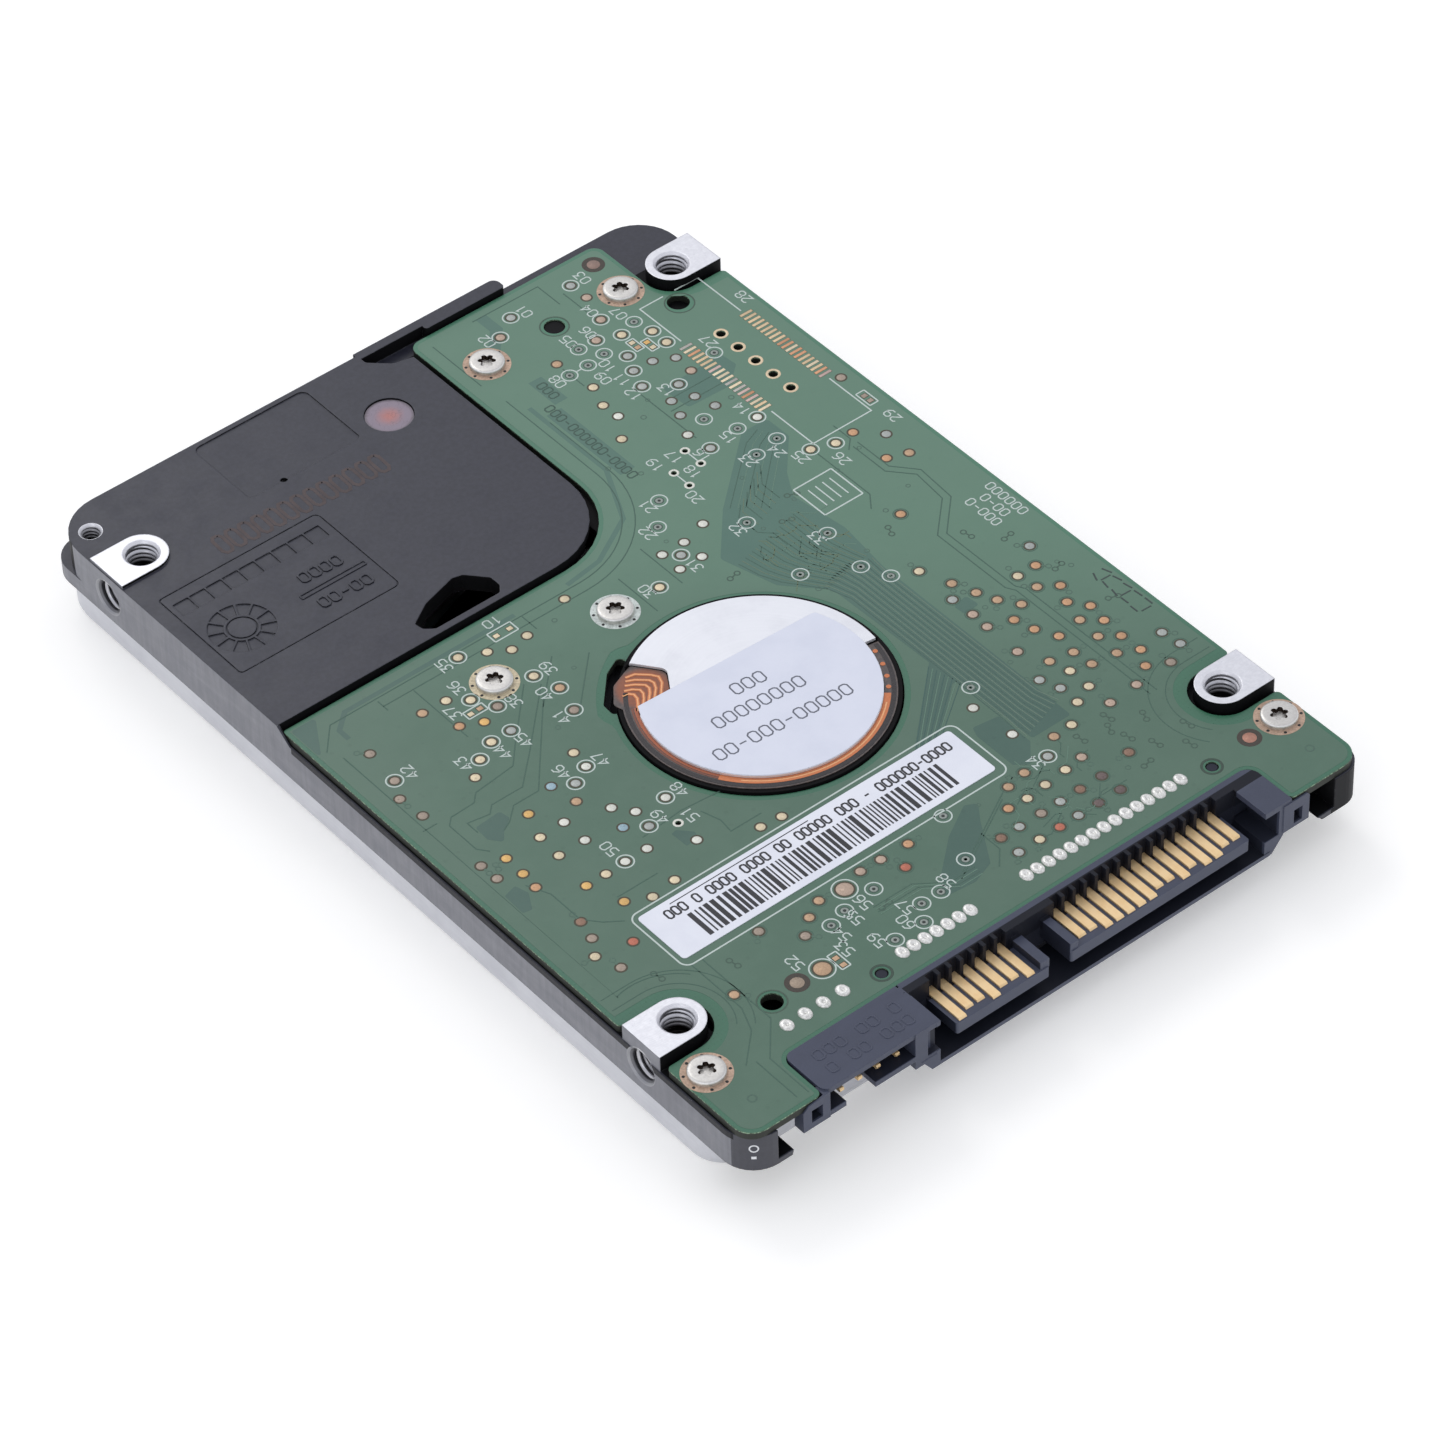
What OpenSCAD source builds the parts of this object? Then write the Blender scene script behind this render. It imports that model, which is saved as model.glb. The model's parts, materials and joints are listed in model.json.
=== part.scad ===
// 2.5 inch hard disk drive, lying cover down with the circuit board on top.
// Origin: centre of the bottom (cover) face. +Z up, connector end at -Y.

/* [Body] */
// Overall width across the side rails
body_w = 69.85; // [69.6:0.05:70.1]
// Overall length, connector end to rear edge
body_l = 100.2; // [100:0.05:100.45]
// Overall height, cover face to mounting bosses
body_h = 9.5; // [9.5:0.05:9.7]
// Height of the split line between cover and casting
split_z = 3.6; // [3.5:0.05:3.7]
// Corner radius at the rear left of the casting
rear_r = 5; // [4:0.5:6]

/* [Mounting holes] */
// Side to side spacing of the four base holes
mount_x = 61.72; // [61.6:0.02:61.9]
// Front to rear spacing of the mounting holes
mount_y = 76.6; // [76.4:0.05:76.8]
// Distance from the front holes to the middle of the body
mount_front = 36.1; // [35.9:0.05:36.3]
// Radius of the M3 holes
mount_r = 1.5; // [1.25:0.05:1.6]
// Height of the side holes above the cover face
side_z = 6.5; // [6.3:0.05:6.6]

/* [Circuit board] */
// Board thickness
pcb_t = 0.8; // [0.6:0.05:0.9]
// Radius of the round opening for the motor
pcb_eye_r = 12.75; // [12.7:0.05:13.2]

/* [Disk pack] */
// Platter radius
disk_r = 32.5; // [32:0.1:32.6]
// Platter thickness
disk_t = 0.635; // [0.6:0.005:0.65]
// Radius of the platter's centre hole
disk_bore = 10; // [9.9:0.05:10]
// Gap between the platters
disk_gap = 1.65; // [1.6:0.01:1.65]

/* [Actuator] */
// Distance from the pivot to the read/write heads
arm_len = 36; // [35.8:0.1:36.1]
// Direction of the parked arm, degrees
park_dir = -35.05; // [-35.5:0.05:-34.8]
// Balls in each row of the pivot bearing
ball_n = 8; // [6:1:9]

/* [Motor] */
// Number of stator teeth
teeth_n = 9; // [6:3:12]

/* [Connector] */
// Pitch of the signal and power contacts
pitch = 1.27; // [1.27:0.01:1.27]
// Width of each contact
contact_w = 0.85; // [0.7:0.05:0.9]

/* [Hidden] */
$fn = 48;

hw = body_w / 2;
hl = body_l / 2;
mx = mount_x / 2;
my0 = -mount_front;
my1 = my0 + mount_y;
z_top = body_h;
z_deep = z_top - 0.3;
groove = 0.2;
z_pcbt = z_top - 0.9;
z_pcb = z_pcbt - pcb_t;
z_pocket = 6.3;
z_floor = 5.5;
z_vcm = z_deep - 0.8;
z_rr = z_pcb - 0.8;
z_rim = 1.3;
sheet = 0.6;
S = [0, -9.7];
P = [-1.5, 31];
// platter stack, counted from the cover side
pa = 1.7;
pa2 = pa + disk_t;
pb = pa2 + disk_gap;
pb2 = pb + disk_t;
vcm_mid = 150;
coil_dir = vcm_mid + 16.4;
L = [-24.6, 27.6];
bosses = [[-mx, my0], [mx, my0], [-mx, my1], [mx, my1]];
pcb_screws = [[9.3, 41.3], [25.3, 41.3], [-16.7, 6.9], [-2.9, 7.0], [-32.4, -41.8], [32.4, -41.8]];
lid_screws = [[-30.4, 45.4], [30.4, 45.4], [-30.6, -41.4], [30.6, -41.4], [-32, 17.6], [32, 17.6]];
jumper_x = [-23.9, -21.9, -19.9, -17.8];
long_sig = [0, 3, 6];
long_pow = [2, 3, 4, 5, 6, 9, 11, 12];
function has(v, i) = len(search(i, v)) > 0;

// ---- outline helpers: [x, y, corner radius] points, counter clockwise ----
function unit(v) = v / norm(v);
function wrap(a) = a - 360 * floor((a + 180) / 360);
function corner(p0, p1, p2, r) = r <= 0 ? [p1] :
  let (a = unit(p0 - p1), b = unit(p2 - p1), h = acos(max(-1, min(1, a * b))) / 2,
    m = p1 + unit(a + b) * r / sin(h), t0 = p1 + a * r / tan(h), t1 = p1 + b * r / tan(h),
    a0 = atan2(t0[1] - m[1], t0[0] - m[0]),
    da = wrap(atan2(t1[1] - m[1], t1[0] - m[0]) - a0), n = max(2, ceil(abs(da) / 10)))
  [for (i = [0:n]) m + r * [cos(a0 + da * i / n), sin(a0 + da * i / n)]];
function rounded(p) = [for (i = [0:len(p) - 1]) let (n = len(p), a = p[(i + n - 1) % n], b = p[i], c = p[(i + 1) % n])
  each corner([a[0], a[1]], [b[0], b[1]], [c[0], c[1]], b[2])];
function rect(x0, x1, y0, y1, r) = [[x0, y0, r], [x1, y0, r], [x1, y1, r], [x0, y1, r]];
function sector(r0, r1, a0, a1) = let (n = ceil(abs(a1 - a0) / 5)) concat(
  [for (i = [0:n]) r1 * [cos(a0 + (a1 - a0) * i / n), sin(a0 + (a1 - a0) * i / n)]],
  [for (i = [n:-1:0]) r0 * [cos(a0 + (a1 - a0) * i / n), sin(a0 + (a1 - a0) * i / n)]]);

module slab(z0, z1) { translate([0, 0, z0]) linear_extrude(z1 - z0) children(); }
module plate(z0, z1, pts) { slab(z0, z1) polygon(rounded(pts)); }
module box(x0, x1, y0, y1, z0, z1) { translate([x0, y0, z0]) cube([x1 - x0, y1 - y0, z1 - z0]); }
module cyl(p, r, z0, z1) { translate([p[0], p[1], z0]) cylinder(r = r, h = z1 - z0); }
module cone(p, r0, r1, z0, z1) { translate([p[0], p[1], z0]) cylinder(r1 = r0, r2 = r1, h = z1 - z0); }
module ring(p, ro, ri, z0, z1) { difference() { cyl(p, ro, z0, z1); cyl(p, ri, z0 - 1, z1 + 1); } }
module sect(p, r0, r1, a0, a1, z0, z1) { translate([p[0], p[1], 0]) slab(z0, z1) polygon(sector(r0, r1, a0, a1)); }
module slant(x0, x1, yz) { translate([x0, 0, 0]) rotate([90, 0, 90]) linear_extrude(x1 - x0) polygon(yz); }
module along_y(y0, y1, xz) { translate([0, y1, 0]) rotate([90, 0, 0]) linear_extrude(y1 - y0) polygon(xz); }
module at_arm() { translate([P[0], P[1], 0]) rotate([0, 0, park_dir]) children(); }
module at_coil() { translate([P[0], P[1], 0]) rotate([0, 0, coil_dir]) children(); }
// six-lobed drive recess in a screw head
module torx(p, r, z0, z1) {
  cyl(p, r * 0.72, z0, z1);
  for (i = [0:5]) cyl([p[0] + r * 0.72 * cos(60 * i), p[1] + r * 0.72 * sin(60 * i)], r * 0.3, z0, z1, $fn = 16);
}

// ---- outlines shared by several parts ----
module deep_outline() { polygon(rounded([[-hw, 14.6, 0], [4.4, 14.6, 8], [4.4, hl - 0.4, 0.6], [-hw, hl - 0.4, rear_r]])); }
module vcm_cavity() { polygon(rounded([[-28.2, 15.9, 0.6], [3, 15.9, 0], [3, 48.1, 0], [-27.2, 48.1, 1],
  [-27.2, 36.8, 1], [-33, 36.8, 1], [-33, 21, 1], [-28.2, 21, 0.6]])); }
module rear_cavity() { polygon(rounded([[2.9, 13.6, 0], [28.2, 13.6, 0], [28.2, 21, 0.6], [33, 21, 1],
  [33, 36.8, 1], [27.2, 36.8, 1], [27.2, 48.1, 1], [2.9, 48.1, 0]])); }
module park_cavity() { polygon(rounded([[20, 3, 0], [30, 0.5, 0], [33, 1.5, 1], [33, 14.2, 1], [28.2, 14.2, 0], [20, 14.2, 0]])); }
module cavity() {
  translate(S) circle(r = 33, $fn = 120);
  vcm_cavity();
  rear_cavity();
  park_cavity();
}
module lid_outline(d) { polygon(rounded([[-34.6 + d, -45.6 + d, 3.6 - d], [34.6 - d, -45.6 + d, 3.6 - d],
  [34.6 - d, 49.8 - d, 4.6 - d], [-34.6 + d, 49.8 - d, 4.6 - d]])); }
module boss_d(p, r, e, z0, z1) {
  s = sign(p[0]);
  cyl(p, r, z0, z1);
  box(min(p[0], s * e), max(p[0], s * e), p[1] - r, p[1] + r, z0, z1);
}

// ================= casting and cover =================
module wall_plate(d, z0, z1) plate(z0, z1, [[-hw + d, -hl + d, 3.3 - d], [-29.6 - d, -hl + d, 0.5], [-29.6 - d, -44.8 + d, 0.8], [28.5 + d, -44.8 + d, 0.8],
  [28.5 + d, -hl + d, 0.5], [hw - d, -hl + d, 2.2], [hw - d, hl - 0.4 - d, 4.5], [-hw + d, hl - 0.4 - d, rear_r]]);
module base_casting() { color("#25272b") difference() {
  union() {
    difference() {
      union() {
        // side walls, front prongs and rear wall up to the board seat
        wall_plate(0, split_z + groove, z_pcb);
        // rear rim
        plate(split_z + groove, z_floor, [[-hw, 20, 0], [hw, 20, 0], [hw, hl, 3], [-hw, hl, 3]]);
        // parting groove above the cover skirt
        wall_plate(groove, split_z, split_z + groove + 0.02);
        plate(split_z, split_z + groove + 0.02, [[-hw + groove, 20, 0], [hw - groove, 20, 0], [hw - groove, hl - groove, 2.8], [-hw + groove, hl - groove, 2.8]]);
        // rim inside the cover skirt
        plate(z_rim, split_z + 0.1, [[-33.9, -44.8, 3], [33.9, -44.8, 3], [33.9, 49.1, 4], [-33.9, 49.1, 4]]);
        // raised voice coil chamber
        slab(z_floor, z_deep) deep_outline();
        slant(-hw, -hw + 0.28, [[12.9, z_pcb - 0.5], [12.9, z_pcb], [14.7, z_deep], [14.7, z_pcb - 0.5]]);
        // rear edge rib
        plate(z_floor - 0.1, z_deep, [[7.7, 48.5, 0.3], [17.1, 48.5, 0.4], [17.1, hl, 0.8], [7.7, hl, 0]]);
        plate(z_floor - 0.1, z_deep, [[0.3, 49.1, 0], [7.9, 49.1, 0], [7.9, hl, 0], [0.3, hl, 0]]);
      }
      // component pocket under the board
      plate(z_pocket, z_pcb + 1, [[-33.2, -32.6, 1], [-28.6, -32.6, 1], [-28.6, -46, 0], [27.6, -46, 0], [27.6, -32.6, 1],
        [33.2, -32.6, 1], [33.2, 12.6, 1], [-33.2, 12.6, 1]]);
      // dark corner pocket between chamber and rear rib
      plate(z_pcb, z_deep + 1, [[0.5, 48.4, 0.6], [2.4, 46.6, 0.8], [4.8, 46, 0], [4.8, 49.1, 0], [0.5, 49.1, 0]]);
      // deep recesses in the front of the prongs
      plate(split_z + 0.75, z_pcb + 1, [[-31.65, -51, 0], [-28.6, -51, 0], [-28.6, -46.1, 0], [-31.65, -46.1, 0.5]]);
      plate(split_z + 0.75, z_pcb + 1, [[27.6, -51, 0], [31.35, -51, 0], [31.35, -46.1, 0.5], [27.6, -46.1, 0]]);
      // slanted inner corners of the front prongs
      along_y(-hl - 1, -45.5, [[-30.6, split_z - 1], [-30.2, split_z], [-29.5, 6.4], [-28, 6.4], [-28, split_z - 1]]);
      along_y(-hl - 1, -45.5, [[30.4, split_z - 1], [30, 3.9], [28.4, 5.1], [27, 5.1], [27, split_z - 1]]);
      // inside of the drive
      difference() {
        union() {
          slab(z_rim - 1, z_floor) cavity();
          slab(z_floor - 0.1, z_vcm) vcm_cavity();
          slab(z_floor - 0.1, z_rr) rear_cavity();
        }
        box(-19, -7.6, 15, 21, z_vcm - 1, z_vcm + 1);
        for (p = [pcb_screws[0], pcb_screws[1]]) cyl(p, 1.9, z_floor, z_rr + 1);
        cyl([17.4, 41.4], 1.8, z_floor, z_rr + 1);
      }
      // opening for the spindle motor and the head connector
      cyl(S, 12.62, z_floor - 1, z_pocket + 1);
      plate(z_rr - 1, z_pcb + 1, rect(25, 31.8, 18.7, 31.7, 0.6));
    }
    // board screw seats in the pocket and the board locating pin
    for (i = [2:3]) cyl(pcb_screws[i], 2.2, z_pocket - 0.2, z_pcb);
    cyl([17.4, 41.4], 0.95, z_pcb - 0.5, z_pcbt - 0.15);
    // machined mounting bosses
    for (p = bosses) boss_d(p, 2.5, hw - 0.1, z_pcb - 0.5, z_top);
  }
  for (p = bosses) {
    cyl(p, mount_r, z_top - 3, z_top + 1);
    cone(p, mount_r, mount_r + 0.3, z_top - 0.25, z_top + 0.05);
    translate([sign(p[0]) * (hw - 2.45), p[1], side_z]) rotate([0, sign(p[0]) * 90, 0]) cylinder(r = mount_r, h = 4);
    translate([sign(p[0]) * (hw - 0.35), p[1], side_z]) rotate([0, sign(p[0]) * 90, 0]) cylinder(r1 = mount_r, r2 = mount_r + 0.4, h = 0.4);
  }
  for (p = pcb_screws) cyl(p, 0.78, z_pcb - 1.7, z_top);
  for (p = lid_screws) cyl(p, 0.78, z_rim - 1, z_rim + 3);
  cyl([31.4, 11.9], 0.52, z_floor - 0.1, z_floor + 0.62);
  // test port under the round seal
  cyl([-2.3, 41.1], 2.35, z_deep - 0.3, z_deep + 1);
  cyl([-2.3, 41.1], 1.6, z_vcm - 1, z_deep + 1);
  // shallow marks and pockets on top of the chamber
  cyl([-32.5, 46.2], 0.85, z_deep - 2, z_deep + 1);
  cone([-32.5, 46.2], 0.85, 1.1, z_deep - 0.25, z_deep + 0.02);
  plate(z_deep - 0.12, z_deep + 1, [[-18.9, 40.2, 0.6], [-6.15, 40.2, 0.6], [-6.15, 49.15, 0.8], [-18.9, 49.15, 0.8]]);
  plate(z_deep - 1.8, z_deep + 1, [[-17.8, 17, 0.3], [-17.6, 16, 0.3], [-16.7, 15.3, 0.4], [-9.5, 15.3, 0.4], [-8.9, 16.1, 0.3],
    [-8.9, 17.4, 0.5], [-10.6, 19.35, 0.6], [-11.6, 19.6, 0.4], [-15.4, 18.5, 1]]);
  cyl([-15, 40.3], 0.35, z_deep - 0.4, z_deep + 1);
  difference() {
    plate(z_deep - 0.1, z_deep + 1, [[-33.35, 22, 0.4], [-15.5, 22, 0.6], [-15.5, 34.65, 0.6], [-33.35, 34.65, 0.4]]);
    plate(z_deep - 1, z_deep + 1.1, [[-33.25, 22.1, 0.4], [-15.6, 22.1, 0.6], [-15.6, 34.55, 0.6], [-33.25, 34.55, 0.4]]);
  }
  for (i = [0:8]) plate(z_deep - 0.12, z_deep + 1, rect(-32.72 + 1.83 * i, -31.05 + 1.83 * i, 31.45, 33.25, 0.1));
  difference() {
    ring([-29.7, 26.8], 3.15, 1.7, z_deep - 0.12, z_deep + 1);
    for (i = [0:11]) translate([-29.7, 26.8, z_deep - 0.2]) rotate([0, 0, 30 * i + 7]) translate([1.2, -0.1, 0]) cube([2.4, 0.2, 0.2]);
  }
  ring([-29.7, 26.8], 1.45, 1.3, z_deep - 0.12, z_deep + 1);
} }

module top_cover() { color("#c9ccd0") difference() {
  union() {
    difference() {
      union() {
        hull() { slab(0, 0.01) lid_outline(1.0); slab(0.3, 0.31) lid_outline(0.29); }
        hull() { slab(0.3, 0.31) lid_outline(0.29); slab(1, 1.01) lid_outline(0); }
        slab(1, split_z) lid_outline(0);
      }
      slab(sheet, split_z + 1) lid_outline(sheet);
    }
    // formed pads under the screws, and under the motor and pivot
    intersection() {
      for (p = concat(lid_screws, [P])) cyl(p, 2.25, sheet - 0.1, z_rim);
      slab(0, split_z) lid_outline(0.2);
    }
  }
  for (p = concat(lid_screws, [P])) {
    cyl(p, 1.85, -1, 0.7);
    cyl(p, 0.95, -1, 2);
  }
  // stamped label field and stiffening field
  plate(-1, 0.14, rect(-28, 28, -31, 6.5, 2));
  plate(-1, 0.2, [[-26, 9.5, 1.5], [26, 9.5, 1.5], [26, 14, 2], [22, 41, 2], [7, 41, 2], [2.6, 34.5, 3], [2.6, 26.5, 3], [-6, 26.5, 3], [-6, 35, 3], [-9, 41, 2], [-22, 41, 2], [-26, 14, 2]]);
  // breather hole
  cyl([20.5, 44.6], 0.5, -1, 1);
} }

module cover_gasket() { color("#1c1c1c") intersection() {
  slab(sheet, z_rim) difference() { offset(delta = 0.8) cavity(); offset(delta = 0.15) cavity(); }
  slab(sheet, z_rim) polygon(rounded([[-33.88, -44.7, 3], [33.88, -44.7, 3], [33.88, 49, 4], [-33.88, 49, 4]]));
} }

module lid_screw(p) { difference() {
  union() { cyl(p, 1.65, 0.12, 0.7); cyl(p, 0.75, 0.6, 3.9); }
  torx(p, 0.8, -1, 0.45);
} }
module cover_screws() { color("#8d9196") for (p = lid_screws) lid_screw(p); }
module pivot_cover_screw() { color("#8d9196") lid_screw(P); }
module cover_label() { color("#e9e9e6") difference() {
  plate(0.03, 0.14, rect(-27.4, 27.4, -30.4, 5.9, 1.5));
  cyl(S, 1.4, -1, 1);
} }
module base_seal() { color("#6f6468") cyl([-2.3, 41.1], 2.3, z_deep - 0.3, z_deep - 0.16); }

// ================= circuit board =================
module board_outline() { polygon(rounded([[-34.62, -49.9, 2], [-26.7, -49.9, 0.6], [-26.7, -44.5, 1.2], [26.3, -44.5, 1.2],
  [26.3, -49.9, 0.6], [34.65, -49.9, 2], [34.65, -39.2, 0.5], [27.85, -39.2, 3], [27.85, -33, 3], [34.65, -33, 0.5],
  [34.65, 37.4, 0.5], [27.8, 37.4, 3.05], [27.8, 48.2, 1.2], [5.3, 48.2, 1.2], [5.3, 14.2, 8.3], [-34.62, 14.2, 0.3],
  [-34.62, -33, 0.5], [-27.85, -33, 3], [-27.85, -39.2, 3], [-34.62, -39.2, 0.5]])); }
module circuit_board() { color("#5f806e") difference() {
  slab(z_pcb, z_pcbt) board_outline();
  cyl(S, pcb_eye_r, z_pcb - 1, z_top);
  plate(z_pcb - 1, z_top, [[-6.2, 1.6, 0], [-6.6, 2.2, 0.4], [-8.5, 1.25, 0.4], [-11.3, -1.75, 0.5], [-11.4, -3.3, 0.4], [-9, -3.5, 0]]);
  for (p = pcb_screws) cyl(p, 0.95, z_pcb - 1, z_top);
  cyl([17.4, 41.4], 1.02, z_pcb - 1, z_top);
  cyl([28.4, 36.5], 1.1, z_pcb - 1, z_top);
  cyl([-23.1, -39.1], 1.0, z_pcb - 1, z_top);
  for (p = [[-14, -42.6], [23.8, -42.5]]) cyl(p, 0.6, z_pcb - 1, z_top);
  for (i = [0:4]) cyl([28.5, 30.3 - 2.55 * i], 0.45, z_pcb - 1, z_top, $fn = 24);
  for (p = [[15.5, 19.7], [15.5, 17.4], [12.8, 18], [12.8, 15.75], [-15.6, -17.45]]) cyl(p, 0.26, z_pcb - 1, z_top, $fn = 16);
  for (i = [0:6]) cyl([-11.11 + pitch * i, -41.9], 0.32, z_pcb - 1, z_top, $fn = 16);
  for (i = [0:14]) cyl([2.86 + pitch * i, -41.9], 0.32, z_pcb - 1, z_top, $fn = 16);
  for (x = jumper_x) cyl([x, -42], 0.36, z_pcb - 1, z_top, $fn = 16);
} }
module board_screws() { color("#b9b4ab") for (p = pcb_screws) difference() {
  union() {
    cyl(p, 1.85, z_pcbt, z_pcbt + 0.3);
    cone(p, 1.85, 1.5, z_pcbt + 0.3, z_pcbt + 0.5);
    cyl(p, 0.75, z_pcb - 1.6, z_pcbt + 0.1);
  }
  torx(p, 0.85, z_pcbt + 0.12, z_top);
} }
module board_insulator() { color("#303236") difference() {
  plate(z_pocket, z_pocket + 0.15, rect(-31.5, 31.5, -31.5, 4.2, 1.5));
  cyl(S, 13.3, z_pocket - 1, z_pocket + 1);
} }
module chip(x0, x1, y0, y1, t) {
  box(x0, x1, y0, y1, z_pcb - t, z_pcb - 0.1);
  for (y = [y0 + 0.5:0.8:y1 - 0.5]) { box(x0 - 0.6, x0 + 0.1, y, y + 0.35, z_pcb - 0.35, z_pcb); box(x1 - 0.1, x1 + 0.6, y, y + 0.35, z_pcb - 0.35, z_pcb); }
}
module controller_chip() { color("#202124") { box(-27, -14.6, -21.6, -9.2, z_pcb - 1.1, z_pcb - 0.25);
  for (i = [0:7], j = [0:7]) cyl([-26.2 + 1.54 * i, -20.8 + 1.54 * j], 0.25, z_pcb - 0.3, z_pcb, $fn = 16); } }
module cache_memory_chip() { color("#202124") chip(-22, -14, -5.6, 4, 1.1); }
module motor_driver_chip() { color("#202124") chip(16.5, 24.5, -12, -4, 1.1); }
module board_small_chips() { color("#2a2b2f") {
  box(17, 21, -26, -22, z_pcb - 0.9, z_pcb); box(26, 29, -20, -16, z_pcb - 0.9, z_pcb);
  box(-29, -26, 0, 3, z_pcb - 0.8, z_pcb); box(20, 22.5, 1.5, 4, z_pcb - 0.8, z_pcb); box(-8, -4, -30.6, -27.6, z_pcb - 0.8, z_pcb);
} }
module board_capacitors() { color("#a08767") {
  for (i = [0:5]) box(-12 + 3 * i, -10.4 + 3 * i, -27.2, -26.4, z_pcb - 0.7, z_pcb);
  for (i = [0:5]) box(27.5, 29.1, -12 + 2.4 * i, -11.2 + 2.4 * i, z_pcb - 0.7, z_pcb);
  for (i = [0:4]) box(-30.5, -28.9, -20 + 2.6 * i, -19.2 + 2.6 * i, z_pcb - 0.7, z_pcb);
} }

// ================= interface connector =================
module sata_housing() { color("#3c4150") difference() {
  union() {
    // mating tongues
    plate(5.5, 6.73, [[-11.93, -49.9, 0.25], [-1.52, -49.9, 0.25], [-1.52, -44.9, 0], [-11.93, -44.9, 0]]);
    plate(5.5, 6.73, [[0.89, -49.9, 0.25], [21.46, -49.9, 0.25], [21.46, -44.9, 0], [0.89, -44.9, 0]]);
    // L-shaped keys
    box(-2.5, -1.52, -49.8, -44.9, 6.6, 7.6);
    box(0.89, 1.75, -49.8, -44.9, 6.6, 7.6);
    // bar behind the tongues
    box(-14, 23.4, -45.9, -44.85, 4.6, 8.7);
    box(-14, 23.4, -45, -44.55, 7.9, 8.7);
    // roof over the jumper pins
    plate(8.15, 8.7, [[-26.45, -49.9, 0.8], [-14.2, -49.9, 0], [-14.2, -44.55, 0], [-26.45, -44.55, 0.8]]);
    box(-26.25, -14, -45.6, -44.85, 5.5, 8.7);
    box(-26.4, -25.8, -49.8, -45, 5.5, 8.5);
    box(-26.1, -24.2, -50, -45, 5.5, 6.05);
    box(-21, -16.5, -50, -45, 5.5, 6.05);
    // shroud: left cheek, right cheek and floor
    box(-16.6, -14.2, -50, -45, 4.5, 8.7);
    along_y(-50.05, -45.65, [[-15.9, 4.9], [-14.8, 3.35], [-13.9, 3.35], [-13.9, 8.7], [-14.3, 8.7], [-14.3, 4.9]]);
    plate(3.35, 3.8, [[-14.8, -50.05, 0.5], [24.2, -50.05, 0.5], [24.2, -45.65, 0], [-14.8, -45.65, 0]]);
    along_y(-50, -45.65, [[23.2, 3.35], [24.1, 3.35], [25.4, 4.9], [25.4, 8.3], [26.25, 8.3], [26.25, 8.7], [23.2, 8.7], [23.2, 8.1], [24.85, 8.1], [24.85, 5.2], [23.2, 5.2]]);
    plate(5.5, 8.7, [[23.2, -46, 0], [26.25, -46, 0], [26.25, -44.85, 1.1], [23.2, -44.85, 0]]);
    plate(7.9, 8.7, [[23.2, -46, 0], [26.25, -46, 0], [26.25, -44.55, 1.35], [23.2, -44.55, 0]]);
    // latch frames beside the shroud
    along_y(-50.1, -48.9, [[-28.9, 5.5], [-26, 5.5], [-26, 8.5], [-26.6, 8.5], [-28.3, 8.3], [-28.9, 7.8]]);
    along_y(-50.1, -48.9, [[25.3, 5.15], [28.3, 5.15], [28.3, 8], [28, 8.3], [25.3, 8.3]]);
    // locating pegs into the board
    for (p = [[-14, -42.6], [23.8, -42.5]]) { cyl(p, 0.5, 7, z_pcbt - 0.1); box(p[0] - 0.7, p[0] + 0.7, -44.95, p[1] + 0.4, 6.6, 7.5); }
  }
  box(-28, -26.8, -51, -48, 6.15, 7.6);
  box(26.5, 27.5, -51, -48, 5.55, 7.15);
  // the latch frames stop under the board and lip over its front edge
  box(-29.5, -26.63, -49.93, -48, z_pcb - 0.04, 9);
  box(26.26, 29, -49.93, -48, z_pcb - 0.04, 9);
  // contact channels with comb slots
  for (i = [0:6]) slot_x(-11.11 + pitch * i);
  for (i = [0:14]) slot_x(2.86 + pitch * i);
  for (x = jumper_x) box(x - 0.34, x + 0.34, -46, -44, 6.2, 6.82);
  // recessed panel in the front of the left cheek
  box(-15.25, -13.8, -51, -49.3, 5.2, 8.15);
} }
module slot_x(x) {
  box(x - contact_w / 2 - 0.03, x + contact_w / 2 + 0.03, -46.2, -44, 6.71, 7.0);
  box(x - contact_w / 2 - 0.03, x + contact_w / 2 + 0.03, -46.2, -45.25, 6.71, 8.8);
}
module contact(x, tip) {
  slant(x - contact_w / 2, x + contact_w / 2, [[tip, 6.74], [tip + 0.15, 6.93], [-44.2, 6.93], [-44.2, 6.74]]);
  slant(x - 0.16, x + 0.16, [[-44.3, 6.75], [-41.75, 6.75], [-41.75, z_pcbt], [-42.05, z_pcbt], [-42.05, 7.1], [-44.3, 6.93]]);
}
module sata_contacts() { color("#d8b67a") {
  for (i = [0:6]) contact(-11.11 + pitch * i, has(long_sig, i) ? -49.75 : -49.15);
  for (i = [0:14]) contact(2.86 + pitch * i, has(long_pow, i) ? -49.75 : -49.15);
} }
module jumper_pins() { color("#d8b67a") for (x = jumper_x)
  slant(x - 0.22, x + 0.22, [[-49.1, 6.35], [-49, 6.25], [-44.6, 6.4], [-44.6, 6.42], [-41.8, 6.75], [-41.8, z_pcbt], [-42.2, z_pcbt],
    [-42.2, 7.1], [-44.6, 6.75], [-49, 6.65], [-49.1, 6.55]]); }
module solder_joints() { color("#c9c8c4") {
  for (i = [0:6]) cone([-11.11 + pitch * i, -41.9], 0.5, 0.22, z_pcbt, z_pcbt + 0.3);
  for (i = [0:14]) cone([2.86 + pitch * i, -41.9], 0.5, 0.22, z_pcbt, z_pcbt + 0.3);
  for (x = jumper_x) cone([x, -42], 0.62, 0.28, z_pcbt, z_pcbt + 0.3);
} }
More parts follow.
